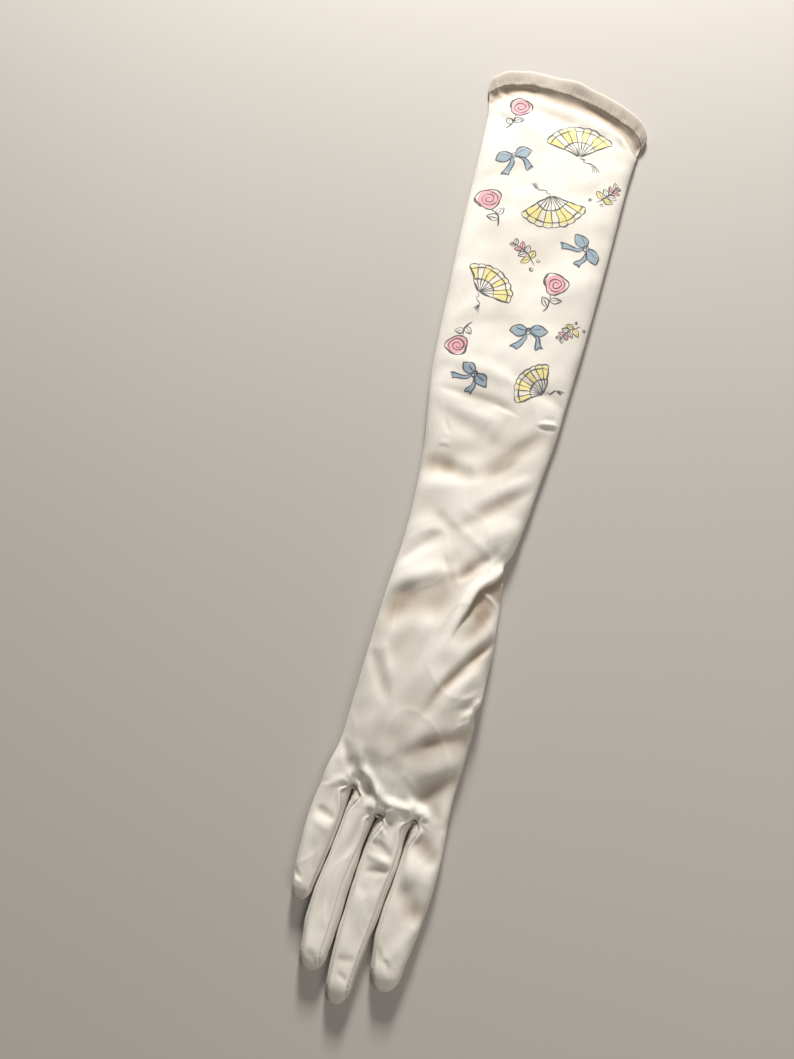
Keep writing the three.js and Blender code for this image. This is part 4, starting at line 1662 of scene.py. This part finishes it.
@dataclass
class Drawing:
    """The drawn pattern: ribbons of ink and patches of flat colour that lie on the cloth.

    Attributes:
        height: the cloth's height over places of the sleeve.
        width: of the ink's line.
        step: between two places along a line.
        wobble: how far the hand wanders.
        press: how much a line's width comes and goes.
        fine: its width at its ends, as a share.
        swells: length over which it gains the rest.
        patch_above: height of the flat colour over the cloth.
        line_above: height of the lines.
        line_apart: how much higher each further line lies, so that no two share a face.
        quilts: the grids of each ink.
        strokes: lines drawn so far.
    """

    height: Callable[[Array, Array], Array]
    width: float = 0.74
    step: float = 0.8
    wobble: float = 0.22
    press: float = 0.28
    fine: float = 0.35
    swells: float = 1.5
    patch_above: float = 0.045
    line_above: float = 0.075
    line_apart: float = 0.0004
    quilts: dict[Ink, Quilt] = field(default_factory=lambda: {ink: Quilt() for ink in Ink})
    strokes: int = 0

    def place(self, local: Array, motif: Placed) -> Array:
        """Moves a motif's own places onto the sleeve, with the wobble of a hand.

        Args:
            local: the motif's own places.
            motif: where they go.

        Returns:
            Places of the sleeve, in millimetres.
        """
        c, s = math.cos(math.radians(motif.turn)), math.sin(math.radians(motif.turn))
        moved = local @ np.array([[c, s], [-s, c]]) * motif.size + (motif.x, motif.y)
        wobble = [ripple(moved[..., 0], moved[..., 1], 6, 16, seed) for seed in (41, 42)]
        return moved + self.wobble * np.stack(wobble, -1)

    def lay(self, ink: Ink, flat: Array, above: float) -> None:
        """Lays a grid of flat places on the cloth.

        Args:
            ink: what they are printed with.
            flat: the grid.
            above: how high over the cloth.
        """
        x, y = flat[..., 0], flat[..., 1]
        points = np.stack([x, y, self.height(x, y) + above], -1)
        quilt = self.quilts[ink]
        quilt.join(quilt.add(points, flat))

    def stroke(self, local: Array, motif: Placed, width: float = 1.0) -> None:
        """Draws one line: a ribbon along evenly spaced places, thicker and thinner on its way.

        Args:
            local: the line's places.
            motif: where it goes.
            width: a factor on the line's width.
        """
        line = self.place(local, motif)
        run = np.concatenate([[0], np.cumsum(np.hypot(*np.diff(line, axis=0).T))])
        even = np.linspace(0, run[-1], max(3, int(run[-1] / self.step)))
        line = np.stack([np.interp(even, run, line[:, k]) for k in (0, 1)], -1)
        self.strokes += 1
        ahead = unit(np.gradient(line, axis=0))
        aside = np.stack([-ahead[:, 1], ahead[:, 0]], -1)
        press = 1 + self.press * ripple(even, 0 * even, 5, 14, 50 + self.strokes % 9, 9)
        ends = lerp(self.fine, 1, smooth(np.minimum(even, run[-1] - even) / self.swells))
        half = (self.width * width / 2 * np.clip(press, 0.5, 1.5) * ends)[:, None, None]
        grid = line[:, None] - aside[:, None] * half * np.array([-1, 0, 1.0])[None, :, None]
        self.lay(Ink.LINE, grid[::-1], self.line_above + self.line_apart * (self.strokes % 40))

    def patch(self, ink: Ink, first: Array, second: Array, motif: Placed) -> None:
        """Fills the space between two lines, a little off them as a hand colours in.

        Args:
            ink: what fills it.
            first: one line's places.
            second: the other's, as many.
            motif: where it goes.
        """
        t = np.linspace(0, 1, 9)[None, :, None]
        grid = self.place(lerp(first[:, None], second[:, None], t), motif)
        a, b, c = grid[0, 0], grid[-1, 0], grid[len(grid) // 2, -1]
        facing = (b[0] - a[0]) * (c[1] - a[1]) - (b[1] - a[1]) * (c[0] - a[0])
        self.lay(ink, grid if facing > 0 else grid[:, ::-1], self.patch_above)

    def fan(self, motif: Placed) -> None:
        """A folding fan: sticks from a pivot, a pleated leaf and a cord with a tassel.

        Args:
            motif: where it goes.
        """
        pivot = np.array([0, -0.75])
        ray = arc(28, 152, 60)
        pleat = 1.62 + 0.05 * np.abs(np.sin(np.linspace(0, 9 * math.pi, 60)))[:, None]
        outer, inner = pivot + ray * pleat, pivot + ray * 0.78
        for first, last in ((0, 15), (20, 26), (33, 46), (53, 59)):
            gore = ray[first:last + 1]
            self.patch(Ink.YELLOW, pivot + gore * 0.84, pivot + gore * 1.56, motif)
        for line in (outer, inner, pivot + ray * 1.43):
            self.stroke(line, motif)
        for k, stick in enumerate(arc(28, 152, 10)):
            t = np.linspace(0.06, 1.62, 20)[:, None]
            self.stroke(pivot + stick * t, motif, 1.25 if k in (0, 9) else 0.7)
        t = np.linspace(0, 1, 24)
        self.stroke(np.stack([0.5 * t + 0.12 * np.sin(9 * t), -0.8 - 0.35 * t], -1), motif, 0.8)
        for k in range(4):
            start = np.array([0.52 + 0.03 * k, -1.14])
            self.stroke(start + np.stack([(0.02 + 0.07 * k) * t, -0.36 * t], -1), motif, 0.7)

    def bud(self, motif: Placed) -> None:
        """A rosebud: a spiral of petals on a bent stem with two leaves.

        Args:
            motif: where it goes.
        """
        t = np.linspace(0, 1, 80)
        centre = np.array([0, 0.45])
        rim = arc(0, 180, 40)
        self.patch(Ink.PINK, centre + 0.58 * rim, centre + 0.6 * rim * (1, -1), motif)
        self.stroke(centre + arc(0, 792, 80) * (0.06 + 0.44 * t)[:, None], motif)
        for low, high, big in ((150, 330, 0.62), (-60, 95, 0.64), (70, 215, 0.68)):
            bulge = big + 0.06 * np.sin(3 * np.radians(np.linspace(low, high, 30)))
            self.stroke(centre + arc(low, high, 30) * bulge[:, None], motif)
        stem = np.stack([0.22 * np.sin(2.6 * t), -0.2 - 1.15 * t], -1)
        self.stroke(stem, motif, 1.2)
        for side in (-1, 1):
            self.leaf(motif, stem[30 if side > 0 else 48], 35 if side > 0 else 150, 0.62)

    def leaf(self, motif: Placed, start: Array, turn: float, long: float, ink: Ink | None = None) -> None:
        """A pointed leaf with its rib.

        Args:
            motif: what it belongs to.
            start: its foot.
            turn: in degrees.
            long: its length.
            ink: what fills it, if anything.
        """
        t = np.linspace(0, 1, 26)
        c, s = math.cos(math.radians(turn)), math.sin(math.radians(turn))
        turned = np.array([[c, s], [-s, c]])
        bow = 0.3 * np.sin(math.pi * t**0.8)
        edges = [start + np.stack([t, k * bow], -1) * long @ turned for k in (1, -1)]
        if ink:
            self.patch(ink, edges[0], edges[1], motif)
        for edge in edges:
            self.stroke(edge, motif, 0.9)
        self.stroke(start + np.stack([0.8 * t, 0 * t], -1) * long @ turned, motif, 0.6)

    def bow(self, motif: Placed) -> None:
        """A ribbon bow: two filled loops, a knot and two cut tails.

        Args:
            motif: where it goes.
        """
        t = np.linspace(0, 1, 40)
        for side in (-1, 1):
            upper = np.stack([side * 1.15 * t, 0.62 * np.sin(math.pi * t**0.75) * t**0.35], -1)
            lower = np.stack([side * 1.15 * t, -0.42 * np.sin(math.pi * t**0.8) * t**0.3], -1)
            self.patch(Ink.BLUE, 0.93 * upper, 0.93 * lower, motif)
            self.stroke(np.vstack([upper, lower[::-1]]), motif)
            self.stroke(np.stack([side * (0.18 + 0.6 * t), 0.16 * t + 0.05], -1), motif, 0.7)
            bend = 0.14 * np.sin(5 * t)
            inner = np.stack([side * (0.1 + 0.5 * t) + bend, -0.12 - 1.15 * t], -1)
            outer = np.stack([side * (0.2 + 0.82 * t) + bend, -0.1 - 1.0 * t], -1)
            self.patch(Ink.BLUE, inner, outer, motif)
            self.stroke(inner, motif)
            self.stroke(outer, motif)
            notch = np.array([inner[-1], (inner[-1] + outer[-1]) / 2 + (0, 0.16), outer[-1]])
            self.stroke(notch, motif)
        self.stroke(arc(0, 360, 40) * (0.17, 0.19), motif, 1.2)

    def sprig(self, motif: Placed) -> None:
        """A sprig: a bent stalk with pairs of leaves, and dots at its foot.

        Args:
            motif: where it goes.
        """
        t = np.linspace(0, 1, 60)
        stalk = np.stack([0.3 * np.sin(2.4 * t), -1 + 1.9 * t], -1)
        self.stroke(stalk, motif, 1.1)
        for k, at in enumerate((14, 26, 38, 50)):
            ink = (Ink.YELLOW, None, Ink.PINK, None)[k]
            self.leaf(motif, stalk[at], 20 + 8 * k, 0.62 - 0.07 * k, ink)
            self.leaf(motif, stalk[at], 160 - 8 * k, 0.62 - 0.07 * k, ink)
        for dot in ((-0.35, -1.05), (0.35, -0.95)):
            self.stroke(dot + 0.09 * arc(0, 360, 60), motif)

    def build(self) -> dict[Ink, bpy.types.Object]:
        """Draws every motif and makes a piece for each ink.

        Returns:
            The pieces.
        """
        draw = {Motif.FAN: self.fan, Motif.BUD: self.bud, Motif.BOW: self.bow, Motif.SPRIG: self.sprig}
        for motif in PATTERN:
            draw[motif.motif](motif)
        return {ink: quilt.build(f"print_{ink.value}") for ink, quilt in self.quilts.items()}


class Tree:
    """A node tree that is filled node by node."""

    def __init__(self, tree: bpy.types.NodeTree) -> None:
        """Takes an empty tree."""
        self.tree = tree

    def add(self, kind: str, inputs: dict | None = None, **settings: object) -> bpy.types.Node:
        """Adds a node, sets its options, and sets or links its inputs.

        Args:
            kind: the node's type.
            inputs: by socket name or number, a value or another node's output.
            settings: the node's own options.

        Returns:
            The node.
        """
        node = self.tree.nodes.new(kind)
        for key, value in settings.items():
            setattr(node, key, value)
        for key, value in (inputs or {}).items():
            if isinstance(value, bpy.types.NodeSocket):
                self.tree.links.new(value, node.inputs[key])
            else:
                node.inputs[key].default_value = value
        return node

    def sums(self, operation: str, *values: object, clamp: bool = False) -> bpy.types.NodeSocket:
        """The output of a Math node on one to three values or sockets."""
        node = self.add("ShaderNodeMath", dict(enumerate(values)), operation=operation, use_clamp=clamp)
        return node.outputs[0]

    def noise(self, scale: float, detail: float) -> bpy.types.NodeSocket:
        """Noise over the object's own places.

        Args:
            scale: in spots for each metre.
            detail: how many finer layers it has.

        Returns:
            Its output, 0 to 1.
        """
        spot = self.add("ShaderNodeTexCoord").outputs["Object"]
        node = self.add("ShaderNodeTexNoise", {"Vector": spot, "Scale": scale, "Detail": detail})
        return node.outputs[0]

    def mix(self, share: bpy.types.NodeSocket, first: object, second: object) -> bpy.types.NodeSocket:
        """A colour between two colours.

        Args:
            share: of the second.
            first: a colour or a socket.
            second: the same.

        Returns:
            Its output.
        """
        node = self.add("ShaderNodeMix", {0: share, 6: first, 7: second}, data_type="RGBA")
        return node.outputs[2]


def new_group(name: str, sockets: list[tuple]) -> tuple[bpy.types.NodeTree, Tree, bpy.types.Node]:
    """An empty node group with named sockets.

    Args:
        name: the group's name.
        sockets: name, direction, type and default of each.

    Returns:
        The group, its tree to fill, and its input node.
    """
    group = bpy.data.node_groups.new(name, "ShaderNodeTree")
    for label, way, kind, default in sockets:
        socket = group.interface.new_socket(label, in_out=way, socket_type=kind)
        if default is not None:
            socket.default_value = default
    tree = Tree(group)
    return group, tree, tree.add("NodeGroupInput")


def knit_group() -> bpy.types.NodeTree:
    """Relief of fine knitted cloth: wales and courses as crossed sines, broken up by grain.

    Returns:
        The group, whose output is a height of about 1.
    """
    group, tree, given = new_group("Knit", [
        ("Pitch", "INPUT", "NodeSocketFloat", 0.0005),
        ("Grain", "INPUT", "NodeSocketFloat", 0.5),
        ("Height", "OUTPUT", "NodeSocketFloat", None),
    ])
    place = tree.add("ShaderNodeUVMap", uv_map="cloth").outputs[0]
    parts = tree.add("ShaderNodeSeparateXYZ", {0: place}).outputs
    turn = tree.sums("DIVIDE", 2 * math.pi, given.outputs["Pitch"])
    course = tree.sums("MULTIPLY", parts[1], turn)
    zigzag = tree.sums("MULTIPLY", tree.sums("SINE", course), 0.9)
    wale = tree.sums("ADD", tree.sums("MULTIPLY", parts[0], turn), zigzag)
    loops = tree.sums("MULTIPLY", tree.sums("SINE", wale), 0.5)
    rows = tree.sums("MULTIPLY", tree.sums("SINE", tree.sums("MULTIPLY", course, 2.0)), 0.25)
    fuzz, slub = tree.noise(1400.0, 3.0), tree.noise(330.0, 2.0)
    grain = tree.sums("MULTIPLY", tree.sums("ADD", fuzz, slub), given.outputs["Grain"])
    height = tree.sums("ADD", tree.sums("ADD", loops, rows), grain)
    tree.add("NodeGroupOutput", {"Height": height})
    return group


def tone_group() -> bpy.types.NodeTree:
    """Tone of the white cloth: a warmer colour as painted shade in the folds, and in faint wide clouds at
    random.

    Returns:
        The group, whose output is a colour.
    """
    group, tree, given = new_group("Cloth tone", [
        ("Cloth", "INPUT", "NodeSocketColor", (1, 1, 1, 1)),
        ("Shade", "INPUT", "NodeSocketColor", (0.5, 0.45, 0.4, 1)),
        ("Clouds", "INPUT", "NodeSocketFloat", 0.15),
        ("Folds", "INPUT", "NodeSocketFloat", 0.5),
        ("Color", "OUTPUT", "NodeSocketColor", None),
    ])
    wide, fine = tree.noise(28.0, 4.0), tree.noise(900.0, 2.0)
    clouds = tree.sums("MULTIPLY", wide, given.outputs["Clouds"])
    specks = tree.sums("MULTIPLY", tree.sums("SUBTRACT", fine, 0.5), 0.16)
    # the valley attribute holds the painted shade of folds, crotches, strips, thumb and hem
    valley = tree.add("ShaderNodeAttribute", attribute_name="valley").outputs["Fac"]
    folds = tree.sums("MULTIPLY", valley, given.outputs["Folds"])
    share = tree.sums("ADD", tree.sums("ADD", clouds, folds), specks, clamp=True)
    mixed = tree.mix(share, given.outputs["Cloth"], given.outputs["Shade"])
    tree.add("NodeGroupOutput", {"Color": mixed})
    return group


@dataclass(frozen=True)
class ClothFinish:
    """How one kind of cloth or print looks.

    Attributes:
        name: the material's name.
        cloth: its colour.
        shade: its colour where painted shade lies, in the folds.
        folds: how strongly the folds take the painted shade.
        clouds: how strongly faint clouds do.
        pitch: of the knit.
        relief: depth of the knit.
        sheen: of the fuzz.
        roughness: of the face.
        patchy: how much of it is missing where ink lies thin.
        thin: the noise under which ink lies thin, and over which it lies full.
        specular: strength of its plain gloss.
        fuzz: roughness of the sheen.
        bump: how strongly the knit's depth shows.
    """

    name: str
    cloth: tuple[float, float, float]
    shade: tuple[float, float, float]
    folds: float = 0.5
    clouds: float = 0.14
    pitch: float = 0.00055
    relief: float = 0.00006
    sheen: float = 0.3
    roughness: float = 0.78
    patchy: float = 0.0
    thin: tuple[float, float] = (0.28, 0.45)
    specular: float = 0.25
    fuzz: float = 0.5
    bump: float = 0.55

    def material(self, knit: bpy.types.NodeTree, tone: bpy.types.NodeTree) -> bpy.types.Material:
        """Builds the material from the two groups.

        Args:
            knit: the relief group.
            tone: the colour group.

        Returns:
            The material.
        """
        material = bpy.data.materials.new(self.name)
        material.use_nodes = True
        material.node_tree.nodes.clear()
        tree = Tree(material.node_tree)
        relief = tree.add("ShaderNodeGroup", node_tree=knit)
        relief.inputs["Pitch"].default_value = self.pitch
        colour = tree.add("ShaderNodeGroup", node_tree=tone)
        colour.inputs["Cloth"].default_value = (*self.cloth, 1)
        colour.inputs["Shade"].default_value = (*self.shade, 1)
        colour.inputs["Folds"].default_value = self.folds
        colour.inputs["Clouds"].default_value = self.clouds
        bump = tree.add("ShaderNodeBump", {
            "Height": relief.outputs["Height"], "Distance": self.relief, "Strength": self.bump,
        })
        face = tree.add("ShaderNodeBsdfPrincipled", {
            "Base Color": colour.outputs["Color"],
            "Normal": bump.outputs[0],
            "Roughness": self.roughness,
            "Specular IOR Level": self.specular,
            "Sheen Weight": self.sheen,
            "Sheen Roughness": self.fuzz,
        })
        if self.patchy:
            # dry spots, where the ink's noise is low, let the cloth show through
            cover = tree.add("ShaderNodeMapRange", {
                "Value": tree.noise(950.0, 3.0),
                "From Min": self.thin[0],
                "From Max": self.thin[1],
                "To Min": 1 - self.patchy,
                "To Max": 1.0,
            })
            tree.tree.links.new(cover.outputs[0], face.inputs["Alpha"])
        tree.add("ShaderNodeOutputMaterial", {"Surface": face.outputs[0]})
        return material


class Stuff(Enum):
    """What the sewn pieces are made of."""

    CLOTH = "cloth"
    STRIP = "strip"
    HEM = "hem"
    THREAD = "thread"


IVORY, SHADOW = (0.86, 0.825, 0.755), (0.41, 0.325, 0.245)
FINISHES = {
    Stuff.CLOTH: ClothFinish("white knit", IVORY, SHADOW, folds=0.85),
    # a little darker than the panels' knit: painted shade between the fingers
    Stuff.STRIP: ClothFinish("side strip knit", (0.82, 0.785, 0.715), SHADOW, folds=0.4),
    # the hem's cloth is darker than the glove's: painted shade of the band that slopes away from the light
    Stuff.HEM: ClothFinish("hem cloth", (0.69, 0.645, 0.58), SHADOW, folds=0.65, clouds=0.2),
    Stuff.THREAD: ClothFinish("sewing thread", (0.80, 0.775, 0.72), SHADOW, pitch=0.0003, sheen=0.15),
    Ink.LINE: ClothFinish("ink line", (0.11, 0.11, 0.125), (0.14, 0.14, 0.16), sheen=0.05, patchy=0.45),
    Ink.YELLOW: ClothFinish("yellow ink", (0.86, 0.75, 0.33), (0.66, 0.54, 0.2), sheen=0.2, patchy=0.25),
    Ink.PINK: ClothFinish("pink ink", (0.84, 0.42, 0.45), (0.62, 0.27, 0.3), sheen=0.2, patchy=0.25),
    Ink.BLUE: ClothFinish("blue ink", (0.34, 0.44, 0.52), (0.18, 0.24, 0.3), sheen=0.2, patchy=0.25),
}


@dataclass(frozen=True)
class Cut:
    """The flat cloth that a part of the glove is cut from, in metres, and what becomes of it.

    Attributes:
        node: the solid that the piece stands for.
        stuff: what it is made of.
        slot: a name for its finish; not used.
        under: what it lies on.
        flat: the cut's width across, and its length along the glove or the seam.
        area: of the cut, inside its curved outline.
    """

    node: str
    stuff: Stuff
    slot: str
    under: str
    flat: tuple[float, float]
    area: float


CUTS = {
    "back_cloth": Cut("back_panel", Stuff.CLOTH, "cloth", "palm_cloth", (0.130, 0.60), 0.0510),
    "palm_cloth": Cut("palm_panel", Stuff.CLOTH, "cloth", "floor", (0.122, 0.60), 0.0470),
    "strip_little_ring": Cut("fourchette_little_ring", Stuff.STRIP, "strip_cloth", "palm_cloth",
                             (0.011, 0.125), 0.00112),
    "strip_ring_middle": Cut("fourchette_ring_middle", Stuff.STRIP, "strip_cloth", "palm_cloth",
                             (0.011, 0.170), 0.00150),
    "strip_middle_index": Cut("fourchette_middle_index", Stuff.STRIP, "strip_cloth", "palm_cloth",
                              (0.011, 0.165), 0.00143),
    "thumb_cloth": Cut("thumb", Stuff.CLOTH, "cloth", "floor", (0.056, 0.107), 0.0051),
    "hem_band": Cut("hem", Stuff.HEM, "hem_cloth", "floor", (0.0125, 0.250), 0.0031),
}


@dataclass(frozen=True)
class Lamp:
    """A square soft light that looks at the middle of the glove.

    Attributes:
        name: its name.
        place: in metres.
        size: its side.
        power: in watts.
        colour: of its light.
    """

    name: str
    place: tuple[float, float, float]
    size: float
    power: float
    colour: tuple[float, float, float]

    def light(self) -> None:
        """Hangs the lamp in the scene."""
        data = bpy.data.lights.new(self.name, "AREA")
        data.size, data.energy, data.color = self.size, self.power, self.colour
        lamp = bpy.data.objects.new(self.name, data)
        lamp.location = self.place
        lamp.rotation_euler = (-Vector(self.place)).to_track_quat("-Z", "Y").to_euler()
        bpy.context.scene.collection.objects.link(lamp)


@dataclass
class Studio:
    """The plain floor, the soft lights and the camera.

    Attributes:
        floor_half: half the floor's side, in millimetres.
        floor_tones: the two colours that the floor mixes.
        floor_roughness: of its face.
        lamps: the key from the cuff's end and the left, and a low fill.
        room: colour and strength of the light from all sides.
        lens: of the camera, in millimetres.
        sensor: its width.
        eye: the camera's place over the hand, in metres.
        tilt: towards the cuff, in degrees.
        turn: about the vertical, in degrees.
    """

    floor_half: float = 3000
    floor_tones: tuple = ((0.47, 0.445, 0.415, 1), (0.50, 0.475, 0.445, 1))
    floor_roughness: float = 0.9
    lamps: tuple[Lamp, ...] = (
        Lamp("key", (-0.24, 1.30, 0.555), 0.27, 37, (1.0, 0.975, 0.93)),
        Lamp("fill", (0.62, -0.35, 1.2), 0.8, 6.0, (1.0, 0.95, 0.88)),
    )
    room: tuple = ((0.93, 0.91, 0.88, 1), 0.10)
    lens: float = 28
    sensor: float = 36
    eye: tuple[float, float, float] = (0.0008, -0.1779, 0.4764)
    tilt: float = 16
    turn: float = 15.2

    def floor(self) -> bpy.types.Object:
        """A wide pale floor under the glove.

        Returns:
            The floor.
        """
        quilt = Quilt()
        side = np.linspace(self.floor_half, -self.floor_half, 3)
        y, x = np.meshgrid(side, -side, indexing="ij")
        flat = np.stack([x, y, 0 * x], -1)
        quilt.join(quilt.add(flat, flat[..., :2]))
        plane = quilt.build("floor")
        material = bpy.data.materials.new("pale floor")
        material.use_nodes = True
        tree = Tree(material.node_tree)
        face = material.node_tree.nodes["Principled BSDF"]
        tree.tree.links.new(tree.mix(tree.noise(3.0, 2.0), *self.floor_tones), face.inputs["Base Color"])
        face.inputs["Roughness"].default_value = self.floor_roughness
        plane.data.materials.append(material)
        return plane

    def light(self) -> None:
        """Hangs the lamps and fills the room with a dim pale light."""
        for lamp in self.lamps:
            lamp.light()
        world = bpy.data.worlds.new("room")
        world.use_nodes = True
        for socket, value in zip(world.node_tree.nodes["Background"].inputs, self.room):
            socket.default_value = value
        bpy.context.scene.world = world

    def camera(self) -> None:
        """Sets up the camera, with plain tones that keep white cloth white."""
        data = bpy.data.cameras.new("camera")
        data.lens, data.sensor_width = self.lens, self.sensor
        camera = bpy.data.objects.new("camera", data)
        camera.location = self.eye
        camera.rotation_euler = (math.radians(self.tilt), 0, math.radians(self.turn))
        bpy.context.scene.collection.objects.link(camera)
        bpy.context.scene.camera = camera
        bpy.context.scene.view_settings.view_transform = "Standard"


def dress(piece: bpy.types.Object, material: bpy.types.Material) -> None:
    """Gives a piece its material."""
    piece.data.materials.clear()
    piece.data.materials.append(material)


def log_piece(piece: bpy.types.Object) -> None:
    """Logs a piece's size."""
    LOG.info("%s: %d faces, %.0f cm2", piece.name, len(piece.data.polygons),
             sum(p.area for p in piece.data.polygons) * 1e4)


def main() -> None:
    """Builds the glove piece by piece, then the print and the studio."""
    knit, tone = knit_group(), tone_group()
    looks = {key: finish.material(knit, tone) for key, finish in FINISHES.items()}

    back = Panel(Side.BACK, per_finger=28, bands=BACK_BANDS, finger_rows=78, tip_rows=9, arch_reach=24)
    back_cloth = back.build("back_cloth")
    palm = Panel(Side.PALM, per_finger=20, bands=PALM_BANDS, finger_rows=60, tip_rows=7, arch_reach=11)
    palm_cloth = palm.build("palm_cloth")
    strips = [SideStrip(index).build() for index in range(3)]
    sheets = [back_cloth, palm_cloth, *strips, Thumb().build(), Hem().build()]
    stitches = [seam_stitches(), sleeve_stitches(back)]
    inks = Drawing(back.height).build()

    for piece in stitches:
        dress(piece, looks[Stuff.THREAD])
    for ink, piece in inks.items():
        dress(piece, looks[ink])
    on_back = [*stitches, *inks.values()]
    for piece in sheets:
        cut = CUTS[piece.name]
        dress(piece, looks[cut.stuff])
        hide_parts(cut.node)
    for piece in [*sheets, *on_back]:
        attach(piece, "root")
        log_piece(piece)

    studio = Studio()
    studio.floor()
    studio.light()
    studio.camera()


if __name__ == "__main__":
    logging.basicConfig(level=logging.INFO)
    main()
